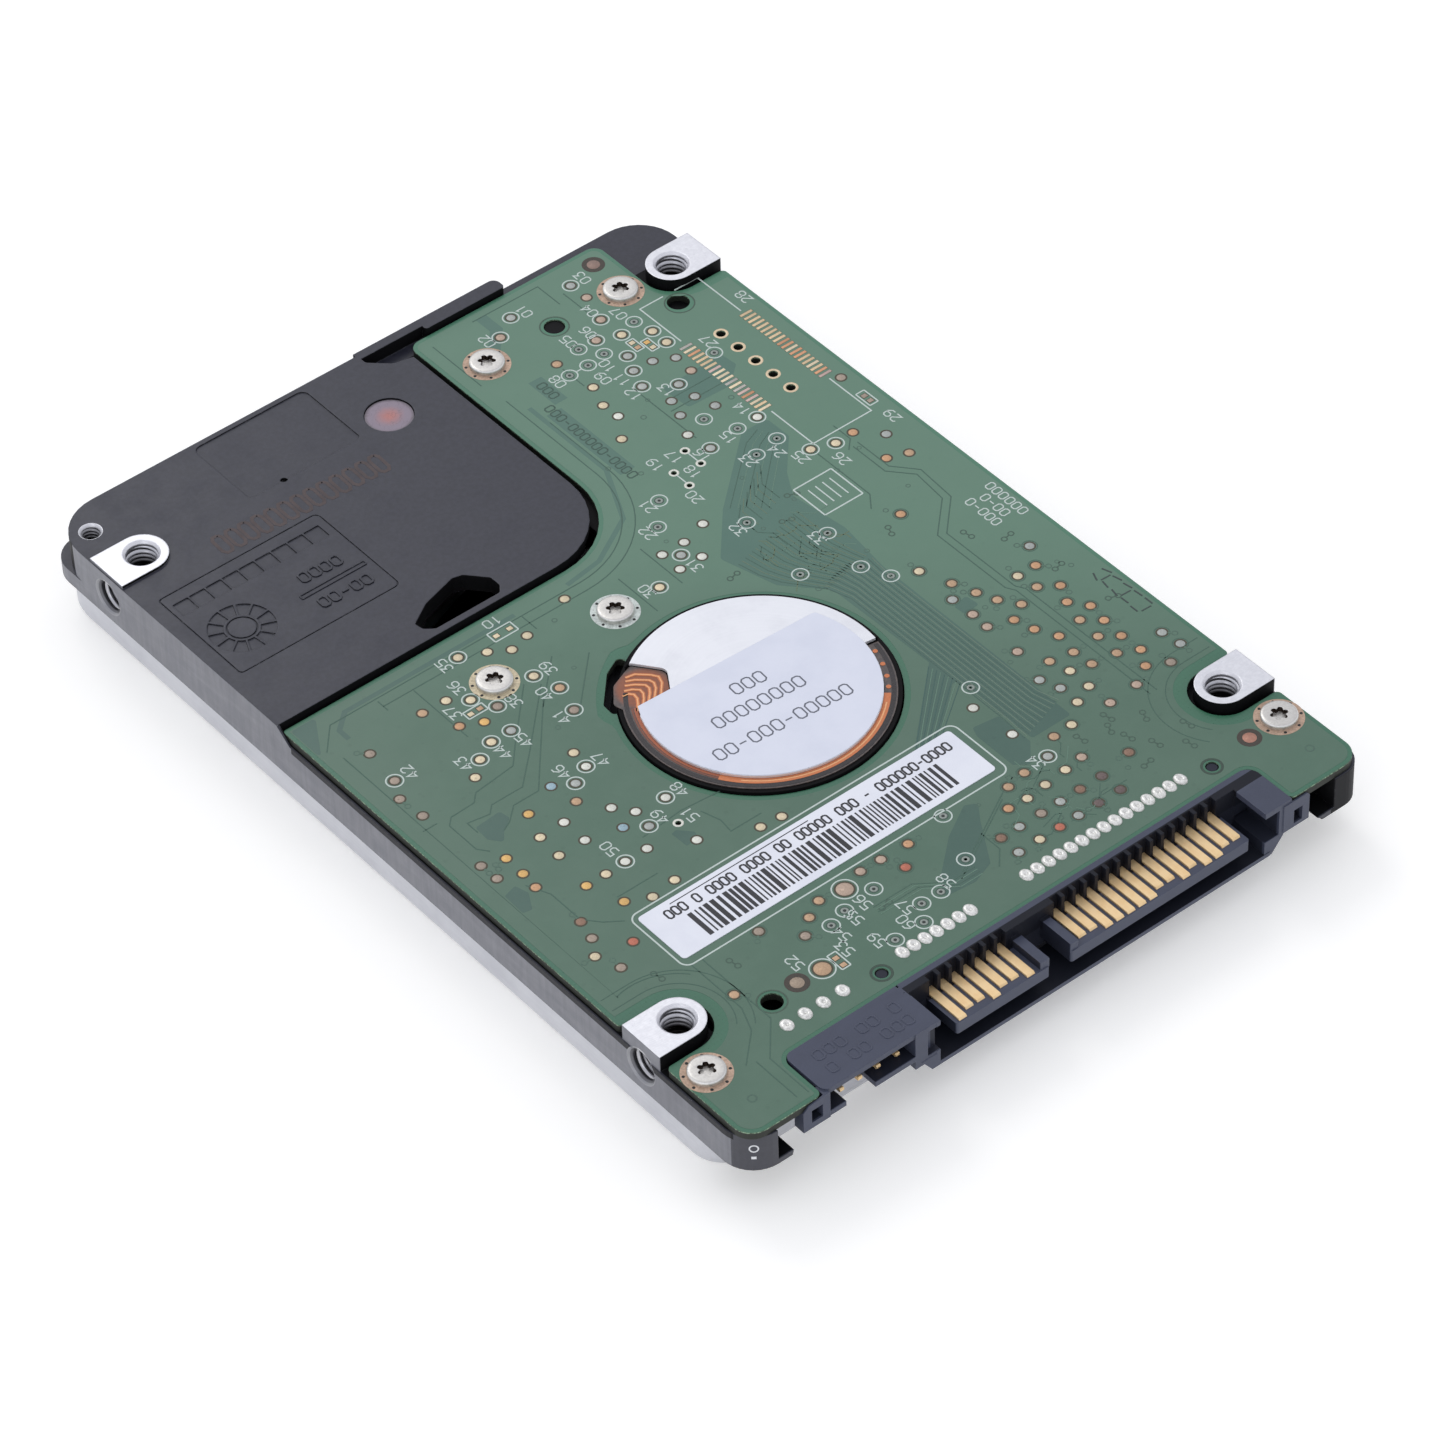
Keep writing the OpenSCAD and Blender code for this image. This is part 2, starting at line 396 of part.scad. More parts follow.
module head_connector_block() { color("#1f2023") difference() {
  union() { box(25.6, 31.2, 19.3, 31.1, 6.3, z_pcb); plate(7.1, 7.6, rect(25.1, 31.7, 18.8, 31.6, 0.6)); }
  for (i = [0:9], j = [0:1]) box(26.6 + 2.2 * j, 27.6 + 2.2 * j, 20 + 1.06 * i, 20.5 + 1.06 * i, 5, 6.9);
} }

// ================= spindle motor, fixed part =================
module flex_tab() { polygon(rounded([[-4.5, -2.3, 0.9], [-6.6, 0.5, 0.4], [-9.4, -0.6, 0.6], [-10.9, -2.6, 0.6], [-10.1, -5.4, 0.4], [-6.9, -6.0, 0.5]])); }
module motor_bracket() { color("#e3e5e6") difference() {
  union() { cyl(S, 12.6, 5.35, z_deep - 0.35, $fn = 96); cyl(S, 12.3, z_deep - 0.5, z_deep + 0.05, $fn = 96); }
  sect(S, 10.95, 13, 148, 352, z_deep - 0.35, z_top);
  difference() { cyl(S, 11.4, 5, z_deep - 1, $fn = 96); cyl(S, 4.85, 5.6, z_top); }
  cyl(S, 3.62, 5, z_deep - 1);
  slab(z_deep - 0.35, z_top) flex_tab();
} }
module motor_flex() { color("#b5652f") union() {
  sect(S, 11.02, 12.2, 149, 351, z_deep - 0.35, z_deep - 0.25);
  slab(z_deep - 0.35, z_deep - 0.25) polygon(rounded([[-4.6, -2.3, 0.9], [-6.6, 0.4, 0.4], [-9.3, -0.7, 0.6], [-10.8, -2.6, 0.6], [-10.1, -5.3, 0.4], [-6.9, -5.9, 0.5]]));
} }
module motor_label() { color("#dcdcdb") intersection() {
  cyl(S, 10.9, z_deep + 0.05, z_deep + 0.11, $fn = 96);
  plate(0, z_top, [[-11.5, -22, 0], [11.5, -22, 0], [11.5, -9, 0], [10.3, -5.3, 1.2], [-11.5, -4.3, 0]]);
} }
module barcode_label() { color("#f1f1ee") plate(z_pcbt, z_pcbt + 0.08, rect(-25.6, 9.5, -30.5, -24.1, 0.4)); }
module stator_core() { color("#6d7076") difference() {
  union() {
    ring(S, 5.9, 4.88, 6.4, 7.4);
    for (i = [0:teeth_n - 1]) translate([S[0], S[1], 6.4]) rotate([0, 0, 360 / teeth_n * i]) translate([5.5, -0.6, 0]) cube([3.6, 1.2, 1]);
    for (i = [0:teeth_n - 1]) sect(S, 8.9, 9.6, 360 / teeth_n * (i - 0.38), 360 / teeth_n * (i + 0.38), 6.4, 7.4);
  }
} }
module stator_coils() { color("#b4703a") for (i = [0:teeth_n - 1]) translate([S[0], S[1], 0]) rotate([0, 0, 360 / teeth_n * i]) difference() {
  plate(6.0, 7.8, [[6.1, -1.05, 0.2], [8.8, -1.25, 0.2], [8.8, 1.25, 0.2], [6.1, 1.05, 0.2]]);
  box(5, 10, -0.63, 0.63, 6.37, 7.43);
} }
module bearing_sleeve() { color("#b98f52") difference() {
  cyl(S, 3.6, 2.9, z_deep - 1);
  cyl(S, 1.75, 2, 9);
  cyl(S, 2.65, 7.1, 9);
} }
module bearing_end_cap() { color("#9a9ca0") cyl(S, 2.63, 7.7, z_deep - 1.02); }

// ================= rotor =================
module spindle_shaft() { color("#b8bbc0") difference() {
  union() { cyl(S, 1.7, 1.3, 7.65); cyl(S, 2.55, 7.15, 7.65); }
  cyl(S, 0.6, 1, 3.5);
} }
module spindle_hub() { color("#cfd1d4") difference() {
  union() { cyl(S, disk_bore - 0.03, pa, pb2 + 0.1); cyl(S, 11.2, pb2, 5.2, $fn = 72); ring(S, 11.2, 10.72, 5.1, 7.8, $fn = 72); }
  cyl(S, 8.6, pa + 1.1, 9);
  cyl(S, 1.72, 0, 9);
  for (i = [0:5]) cyl(S + 6.5 * [cos(60 * i), sin(60 * i)], 0.72, 1, pa + 0.9, $fn = 24);
} }
module rotor_magnet() { color("#4a4c50") ring(S, 10.7, 9.95, 5.4, 7.8, $fn = 72); }
module lower_platter() { color("#d9dadb") ring(S, disk_r, disk_bore, pa, pa2, $fn = 120); }
module platter_spacer() { color("#b9bcc0") ring(S, 11.5, disk_bore, pa2, pb, $fn = 72); }
module upper_platter() { color("#d9dadb") ring(S, disk_r, disk_bore, pb, pb2, $fn = 120); }
module disk_clamp() { color("#aeb1b5") difference() {
  union() { cyl(S, 11.5, pa - 0.35, pa, $fn = 72); cyl(S, 8.4, pa - 0.5, pa - 0.3); }
  cyl(S, 2, 0, 3);
  for (i = [0:5]) cyl(S + 6.5 * [cos(60 * i), sin(60 * i)], 0.74, 0, 3, $fn = 24);
  for (i = [0:5]) cyl(S + 6.5 * [cos(60 * i + 30), sin(60 * i + 30)], 1.1, 0, pa - 0.2, $fn = 24);
} }
module clamp_screws() { color("#8d9196") for (i = [0:5]) let (p = S + 6.5 * [cos(60 * i), sin(60 * i)]) difference() {
  union() { cyl(p, 1.2, pa - 0.9, pa - 0.5, $fn = 24); cyl(p, 0.7, pa - 0.6, pa + 0.85, $fn = 24); }
  torx(p, 0.6, 0, pa - 0.7);
} }

// ================= actuator =================
arm_z = [[pa - 0.7, pa - 0.4], [pa2 + 0.385, pb - 0.385], [pb2 + 0.4, pb2 + 0.7]];
susp_z = [pa - 0.4, pa2 + 0.285, pb - 0.385, pb2 + 0.3];
module actuator_arm_block() { color("#b4b7bb") difference() {
  union() {
    cyl(P, 5.2, 0.95, 6.85);
    at_arm() for (z = arm_z) plate(z[0], z[1], [[-2, -4.4, 0], [6, -4.2, 0], [27.4, -2, 1], [27.4, 2, 1], [6, 4.2, 0], [-2, 4.4, 0]]);
    at_arm() plate(0.95, arm_z[2][1], [[0, -4.2, 0], [6.6, -3.9, 1], [6.6, 3.9, 1], [0, 4.2, 0]]);
    at_coil() plate(3.3, 5.5, [[0, -5, 0], [6.4, -4.2, 1], [6.4, 4.2, 1], [0, 5, 0]]);
  }
  cyl(P, 3.32, 0, 9);
  // weight relief windows in the arms
  at_arm() plate(0, arm_z[2][1] + 1, [[9.5, -1.6, 0.8], [16, -1.1, 0.8], [16, 1.1, 0.8], [9.5, 1.6, 0.8]]);
  at_arm() cyl([25.4, 0], 0.8, 0, 6, $fn = 24);
} }
module voice_coil() { color("#a8602c") at_coil() difference() {
  plate(3.4, 5.4, [[8.2, -2.7, 0.8], [16.6, -6.2, 1], [16.6, 6.2, 1], [8.2, 2.7, 0.8]]);
  plate(3, 6, [[10.6, -0.9, 0.3], [14.4, -2.3, 0.5], [14.4, 2.3, 0.5], [10.6, 0.9, 0.3]]);
} }
module coil_overmold() { color("#3a3a3c") at_coil() difference() {
  plate(3.5, 5.3, [[6.42, -4.1, 0], [8.6, -4.3, 0.6], [17.1, -7.0, 1], [17.1, 7.0, 1], [8.6, 4.3, 0.6], [6.42, 4.1, 0]]);
  plate(3, 6, [[8.18, -2.74, 0.8], [16.63, -6.25, 1], [16.63, 6.25, 1], [8.18, 2.74, 0.8]]);
} }
module head_suspensions() { color("#c4c6c9") at_arm() for (z = susp_z) difference() {
  plate(z, z + 0.1, [[23.6, -1.9, 0.5], [27.2, -1.9, 0.3], [36.2, -0.5, 0.1], [37.2, -0.28, 0], [38.1, -0.25, 0.2], [38.1, 0.25, 0.2], [37.2, 0.28, 0], [36.2, 0.5, 0.1], [27.2, 1.9, 0.3], [23.6, 1.9, 0.5]]);
  cyl([25.4, 0], 0.8, 0, 6, $fn = 24);
  plate(0, 6, [[28.4, -0.7, 0.2], [30.4, -0.5, 0.2], [30.4, 0.5, 0.2], [28.4, 0.7, 0.2]]);
} }
module head_sliders() { color("#4c4a4e") at_arm() {
  for (z = [susp_z[0] + 0.1, susp_z[2] + 0.1]) box(arm_len - 0.45, arm_len + 0.35, -0.35, 0.35, z, z + 0.24);
  for (z = [susp_z[1] - 0.24, susp_z[3] - 0.24]) box(arm_len - 0.45, arm_len + 0.35, -0.35, 0.35, z, z + 0.24);
} }
module pivot_bearing_sleeve() { color("#9fa2a6") ring(P, 3.3, 2.72, 1.7, 7.7); }
module preamp_chip() { color("#242528") translate([P[0], P[1], 0]) rotate([0, 0, 47]) { box(5.22, 5.6, -1.6, 1.6, 2.4, 5.4); } }
module pivot_balls() { color("#d0d2d4") for (i = [0:ball_n - 1], z = [2.5, 6.8])
  translate([P[0] + 2.16 * cos(360 / ball_n * i), P[1] + 2.16 * sin(360 / ball_n * i), z]) sphere(r = 0.5, $fn = 24); }
module pivot_shaft() { color("#a9acb1") difference() {
  union() { cyl(P, 1.6, z_rim, z_vcm); cyl(P, 2.6, 7.9, z_vcm); }
  cyl(P, 0.78, 1, 4.3);
} }

// ================= voice coil motor, latch, ramp, filters =================
module yoke_shape() {
  translate(P) polygon(sector(6.9, 18.2, 116.5, 183.5));
  translate(P) polygon(sector(8.2, 15.2, 92, 209));
  translate(P + 19.6 * [cos(vcm_mid), sin(vcm_mid)]) circle(r = 2.2);
}
post_at = [19.6 * [cos(150), sin(150)], 13.2 * [cos(96), sin(96)], 13.2 * [cos(204.5), sin(204.5)]];
stop_at = [9.5 * [cos(199.5), sin(199.5)], 9.5 * [cos(100.5), sin(100.5)]];
module upper_yoke() { color("#8f9296") slab(7, 8) yoke_shape(); }
module lower_yoke() { color("#8f9296") slab(0.8, 1.8) yoke_shape(); }
module upper_magnet() { color("#b3b5b8") sect(P, 8.4, 17, 119, 181, 5.9, 7); }
module lower_magnet() { color("#b3b5b8") sect(P, 8.4, 17, 119, 181, 1.8, 2.9); }
module yoke_posts() { color("#9a9da1") for (q = post_at) cyl(P + q, 1.1, 1.8, 7); }
module crash_stops() { color("#2b2b2b") for (q = stop_at) cyl(P + q, 0.75, 1.8, 7); }
module inertial_latch() { color("#d8d6cf") difference() {
  union() {
    cyl(L, 1.5, 3.5, 5.3);
    plate(3.6, 5.2, [[L[0] - 5.6, L[1] - 1.6, 1.2], [L[0] - 0.5, L[1] - 1.1, 0], [L[0] - 0.5, L[1] + 1.1, 0], [L[0] - 5.6, L[1] + 2.6, 1.2]]);
    plate(3.6, 5.2, [[L[0] + 0.5, L[1] - 0.9, 0], [L[0] + 3.2, L[1] - 0.6, 0.4], [L[0] + 4.9, L[1] + 2.6, 0.2], [L[0] + 3.9, L[1] + 3, 0.2], [L[0] + 2.3, L[1] + 0.8, 0.4], [L[0] + 0.5, L[1] + 0.9, 0]]);
  }
  cyl(L, 0.66, 3, 6);
} }
module latch_pin() { color("#a9acb1") { cyl(L, 0.6, 2.9, z_vcm); cyl(L, 1.1, 2.6, 3.2); cyl(L, 1.2, 5.5, z_vcm); } }
module ramp_arc(r0, r1, a0, a1, z0, z1) { sect(P, r0, r1, a0, a1, z0, z1); }
module load_ramp() { color("#e4dfd0") difference() {
  union() {
    ramp_arc(38.5, 40.3, -40, -31.2, 1.1, z_floor);
    for (z = [pa - 0.27, pa2 + 0.09, pb - 0.25, pb2 + 0.09]) ramp_arc(36.9, 39, -41.6, -32.2, z, z + 0.16);
    plate(3.3, z_floor, [[30.2, 10.4, 0.4], [32.8, 10.4, 0.4], [32.8, 13.4, 1], [30.2, 13.4, 1]]);
  }
  for (z = [[pa - 0.1, pa2 + 0.08], [pb - 0.08, pb2 + 0.08]]) cyl(S, disk_r + 0.35, z[0], z[1], $fn = 120);
  for (z = [[0, pa - 0.28], [pa2 + 0.26, pb - 0.26], [pb2 + 0.26, 5.1]]) cyl(S, disk_r + 0.35, z[0], z[1], $fn = 120);
  cyl([31.4, 11.9], 0.54, 3, 6);
} }
module ramp_screw() { color("#8d9196") difference() {
  union() { cyl([31.4, 11.9], 0.8, 2.8, 3.3); cyl([31.4, 11.9], 0.5, 3.2, z_floor + 0.6); }
  torx([31.4, 11.9], 0.42, 2, 3.05);
} }
// ribbon from the arm block round its free loop to the bracket
function loop(t) = let (a = 12 + 150 * t) [P[0] + 5.9 + 4.6 - 4.6 * cos(150 * t) + 1.8 * t, P[1] + 1.4 + 6.2 * sin(150 * t * 0.8) + 2.2 * t];
function loop_n(t) = let (d = unit(loop(t + 0.01) - loop(t - 0.01))) [-d[1], d[0]];
module flex_cable() { color("#b5652f") union() {
  slab(2.6, 5.4) polygon(concat([for (i = [0:24]) loop(i / 24) + 0.07 * loop_n(i / 24)], [for (i = [24:-1:0]) loop(i / 24) - 0.07 * loop_n(i / 24)]));
  let (e = loop(1)) box(e[0] - 0.07, e[0] + 0.9, e[1] - 0.3, e[1] + 0.12, 2.6, 6.24);
  let (e = loop(1)) plate(6.1, 6.24, [[e[0] - 0.07, e[1] - 2.2, 0], [23.8, e[1] - 2.2, 1], [26, 25, 0.5], [31, 25, 0.5], [31, 29, 0.5], [26.6, 36, 1],
    [26.6, e[1] - 0.75, 1], [e[0] + 0.85, e[1] - 0.75, 0], [e[0] + 0.85, e[1] + 0.1, 0], [e[0] - 0.07, e[1] + 0.1, 0]]);
} }
module flex_bracket() { color("#c2c5c8") difference() {
  plate(6.26, 6.8, [[12.4, 30.5, 1], [22, 30.5, 2], [22, 26, 1], [25.2, 26, 0.5], [25.2, 38.5, 1], [12.4, 38.5, 1]]);
  cyl([15, 36.5], 0.7, 5, 8);
  cyl([23, 36.5], 0.7, 5, 8);
} }
module recirculation_filter() { color("#f0efe9") plate(1.2, 5, rect(28.6, 32.4, 22.4, 29.5, 0.8)); }
module breather_filter() { color("#e9e6dc") plate(0.62, 3.4, rect(17.5, 24.5, 42, 47.4, 1)); }

base_casting();
top_cover();
cover_gasket();
cover_screws();
pivot_cover_screw();
cover_label();
base_seal();
circuit_board();
board_screws();
board_insulator();
controller_chip();
cache_memory_chip();
motor_driver_chip();
board_small_chips();
board_capacitors();
sata_housing();
sata_contacts();
jumper_pins();
solder_joints();
head_connector_block();
motor_flex();
motor_bracket();
motor_label();
barcode_label();
stator_core();
stator_coils();
bearing_sleeve();
bearing_end_cap();
spindle_shaft();
spindle_hub();
rotor_magnet();
lower_platter();
platter_spacer();
upper_platter();
disk_clamp();
clamp_screws();
actuator_arm_block();
voice_coil();
coil_overmold();
head_suspensions();
head_sliders();
pivot_bearing_sleeve();
preamp_chip();
pivot_balls();
pivot_shaft();
upper_yoke();
lower_yoke();
upper_magnet();
lower_magnet();
yoke_posts();
crash_stops();
inertial_latch();
latch_pin();
load_ramp();
ramp_screw();
flex_cable();
flex_bracket();
recirculation_filter();
breather_filter();
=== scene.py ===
"""Looks of a 2.5 inch hard disk drive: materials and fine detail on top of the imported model."""
import bpy
import json
import math
import random
from mathutils import Matrix, Vector


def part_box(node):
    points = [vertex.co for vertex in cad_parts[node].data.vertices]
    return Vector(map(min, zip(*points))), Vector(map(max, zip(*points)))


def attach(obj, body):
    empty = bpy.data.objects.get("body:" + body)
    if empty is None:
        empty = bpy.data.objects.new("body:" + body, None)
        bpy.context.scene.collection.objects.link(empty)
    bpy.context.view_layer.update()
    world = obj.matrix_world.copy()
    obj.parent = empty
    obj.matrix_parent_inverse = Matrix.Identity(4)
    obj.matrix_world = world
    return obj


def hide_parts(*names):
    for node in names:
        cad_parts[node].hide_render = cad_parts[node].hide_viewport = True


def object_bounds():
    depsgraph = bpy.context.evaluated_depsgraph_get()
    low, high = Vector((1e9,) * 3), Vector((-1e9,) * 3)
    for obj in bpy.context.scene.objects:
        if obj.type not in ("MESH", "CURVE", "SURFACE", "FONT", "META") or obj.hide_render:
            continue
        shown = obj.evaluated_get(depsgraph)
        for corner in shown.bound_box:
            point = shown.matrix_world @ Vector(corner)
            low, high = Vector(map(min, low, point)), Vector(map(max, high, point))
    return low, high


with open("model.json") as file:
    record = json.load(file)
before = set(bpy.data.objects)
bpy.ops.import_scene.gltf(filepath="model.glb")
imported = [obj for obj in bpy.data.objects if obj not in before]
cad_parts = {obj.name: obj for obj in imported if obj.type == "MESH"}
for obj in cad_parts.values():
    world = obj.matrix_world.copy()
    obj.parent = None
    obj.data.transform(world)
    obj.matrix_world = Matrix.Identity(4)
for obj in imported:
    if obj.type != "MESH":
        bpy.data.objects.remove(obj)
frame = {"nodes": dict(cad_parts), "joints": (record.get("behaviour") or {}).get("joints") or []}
cad_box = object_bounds()
NODES = frame["nodes"]
MM = 0.001
rnd = random.Random(7)

# levels and places, taken from the frame (mm)
Z_TOP = cad_box[1].z / MM
Z_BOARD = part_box("circuit_board")[1].z / MM
Z_CAST = Z_TOP - 0.3
SP = (0.0, -9.7)
PV = (-1.5, 31.0)
joints = {j["name"]: j for j in frame["joints"]}
if "spindle_spin" in joints:
    SP = tuple(c / MM for c in joints["spindle_spin"]["pos_m"][:2])
if "actuator_swing" in joints:
    PV = tuple(c / MM for c in joints["actuator_swing"]["pos_m"][:2])
BOSSES = [(-30.86, -36.1), (30.86, -36.1), (-30.86, 40.5), (30.86, 40.5)]
BOARD_SCREWS = [(9.3, 41.3), (25.3, 41.3), (-16.7, 6.9), (-2.9, 7.0), (-32.4, -41.8), (32.4, -41.8)]
LID_SCREWS = [(-30.4, 45.4), (30.4, 45.4), (-30.6, -41.4), (30.6, -41.4), (-32.0, 17.6), (32.0, 17.6)]


def srgb(r, g, b):
    """Linear colour of an 8 bit screen colour."""
    out = []
    for c in (r, g, b):
        c /= 255.0
        out.append(c / 12.92 if c <= 0.04045 else ((c + 0.055) / 1.055) ** 2.4)
    return out


# ---------------------------------------------------------------- shader building
class X:
    """A value in a material's node tree, with arithmetic."""

    def __init__(self, m, s):
        self.m, self.s = m, s

    def __add__(self, o): return self.m.math("ADD", self, o)
    def __radd__(self, o): return self.m.math("ADD", o, self)
    def __sub__(self, o): return self.m.math("SUBTRACT", self, o)
    def __rsub__(self, o): return self.m.math("SUBTRACT", o, self)
    def __mul__(self, o): return self.m.math("MULTIPLY", self, o)
    def __rmul__(self, o): return self.m.math("MULTIPLY", o, self)
    def __truediv__(self, o): return self.m.math("DIVIDE", self, o)
    def __gt__(self, o): return self.m.math("GREATER_THAN", self, o)
    def __lt__(self, o): return self.m.math("LESS_THAN", self, o)
    def abs(self): return self.m.math("ABSOLUTE", self)
    def sqrt(self): return self.m.math("SQRT", self)


class Mat:
    """A procedural material: positions in mm, noise, masks, bump and a Principled surface."""

    def __init__(self, name):
        self.mat = bpy.data.materials.new(name)
        self.mat.use_nodes = True
        self.nt = self.mat.node_tree
        self.nt.nodes.clear()
        out = self.nt.nodes.new("ShaderNodeOutputMaterial")
        self.bsdf = self.nt.nodes.new("ShaderNodeBsdfPrincipled")
        self.nt.links.new(self.bsdf.outputs[0], out.inputs[0])
        self._p = self._xyz = self._geo = None

    def put(self, sock, v):
        if isinstance(v, X):
            self.nt.links.new(v.s, sock)
        elif isinstance(v, (list, tuple)) and sock.type == "RGBA" and len(v) == 3:
            sock.default_value = (*v, 1.0)
        else:
            sock.default_value = v

    def new(self, kind, **props):
        n = self.nt.nodes.new("ShaderNode" + kind)
        for k, v in props.items():
            setattr(n, k, v)
        return n

    def math(self, op, a, b=None, clamp=False):
        n = self.new("Math", operation=op, use_clamp=clamp)
        self.put(n.inputs[0], a)
        if b is not None:
            self.put(n.inputs[1], b)
        return X(self, n.outputs[0])

    def clamp(self, a):
        return self.math("ADD", a, 0.0, clamp=True)

    def smooth(self, v, lo, hi):
        """0 below lo, 1 above hi, smooth between."""
        n = self.new("MapRange", interpolation_type="SMOOTHSTEP", clamp=True)
        self.put(n.inputs["Value"], v)
        self.put(n.inputs["From Min"], lo)
        self.put(n.inputs["From Max"], hi)
        return X(self, n.outputs["Result"])

    def lerp(self, f, a, b):
        n = self.new("Mix", data_type="FLOAT")
        self.put(n.inputs[0], f)
        self.put(n.inputs[2], a)
        self.put(n.inputs[3], b)
        return X(self, n.outputs[0])

    def mix(self, f, a, b, mode="MIX"):
        n = self.new("Mix", data_type="RGBA", blend_type=mode)
        self.put(n.inputs[0], f)
        self.put(n.inputs[6], a)
        self.put(n.inputs[7], b)
        return X(self, n.outputs[2])

    def pos(self):
        """Place on the part in mm."""
        if self._p is None:
            t = self.new("TexCoord")
            n = self.new("VectorMath", operation="SCALE")
            self.nt.links.new(t.outputs["Object"], n.inputs[0])
            n.inputs["Scale"].default_value = 1000.0
            self._p = X(self, n.outputs[0])
        return self._p

    def xyz(self):
        if self._xyz is None:
            n = self.new("SeparateXYZ")
            self.put(n.inputs[0], self.pos())
            self._xyz = tuple(X(self, o) for o in n.outputs)
        return self._xyz

    def vec(self, x, y, z):
        n = self.new("CombineXYZ")
        for i, v in enumerate((x, y, z)):
            self.put(n.inputs[i], v)
        return X(self, n.outputs[0])

    def scaled(self, sx, sy, sz):
        n = self.new("VectorMath", operation="MULTIPLY")
        self.put(n.inputs[0], self.pos())
        n.inputs[1].default_value = (sx, sy, sz)
        return X(self, n.outputs[0])

    def polar(self, c):
        """Radius and angle about a vertical axis."""
        x, y, _ = self.xyz()
        dx, dy = x - c[0], y - c[1]
        return (dx * dx + dy * dy).sqrt(), self.math("ARCTAN2", dy, dx)

    def normal_z(self):
        if self._geo is None:
            g = self.new("NewGeometry")
            n = self.new("SeparateXYZ")
            self.nt.links.new(g.outputs["True Normal"], n.inputs[0])
            self._geo = X(self, n.outputs[2])
        return self._geo

    def noise(self, scale, detail=2.0, rough=0.5, at=None, dist=0.0):
        n = self.new("TexNoise", noise_dimensions="3D")
        self.put(n.inputs["Vector"], at if at is not None else self.pos())
        n.inputs["Scale"].default_value = scale
        n.inputs["Detail"].default_value = detail
        n.inputs["Roughness"].default_value = rough
        n.inputs["Distortion"].default_value = dist
        return X(self, n.outputs["Fac"])

    def cells(self, scale, feature="F1", at=None, out="Distance", rand=1.0):
        n = self.new("TexVoronoi", feature=feature)
        self.put(n.inputs["Vector"], at if at is not None else self.pos())
        n.inputs["Scale"].default_value = scale
        n.inputs["Randomness"].default_value = rand
        return X(self, n.outputs[out])

    def wave(self, v, period):
        """0 to 1 sine of a value."""
        return self.math("SINE", v * (2 * math.pi / period)) * 0.5 + 0.5

    def attr(self, name):
        n = self.new("Attribute", attribute_name=name)
        return X(self, n.outputs["Color"])

    def bevel(self, r, samples=4):
        n = self.new("Bevel", samples=samples)
        n.inputs["Radius"].default_value = r * MM
        return X(self, n.outputs[0])

    def edge(self, bev, lo=0.02, hi=0.3):
        """1 on the rounded edges that bevel() finds."""
        g = self.new("NewGeometry")
        d = self.new("VectorMath", operation="DOT_PRODUCT")
        self.put(d.inputs[0], bev)
        self.nt.links.new(g.outputs["Normal"], d.inputs[1])
        return self.smooth(1.0 - X(self, d.outputs["Value"]), lo, hi)

    def bump(self, h, dist, strength=1.0, normal=None):
        """h in 0..1, dist in mm."""
        n = self.new("Bump")
        n.inputs["Strength"].default_value = strength
        n.inputs["Distance"].default_value = dist * MM
        self.put(n.inputs["Height"], h)
        if normal is not None:
            self.put(n.inputs["Normal"], normal)
        return X(self, n.outputs[0])

    def set(self, **k):
        names = {"color": "Base Color", "metal": "Metallic", "rough": "Roughness", "normal": "Normal", "spec": "Specular IOR Level",
                 "coat": "Coat Weight", "coat_rough": "Coat Roughness", "coat_normal": "Coat Normal", "ior": "IOR", "sheen": "Sheen Weight",
                 "sss": "Subsurface Weight", "aniso": "Anisotropic", "tangent": "Tangent", "emit": "Emission Color", "emit_s": "Emission Strength"}
        for a, v in k.items():
            self.put(self.bsdf.inputs[names[a]], v)
        return self.mat


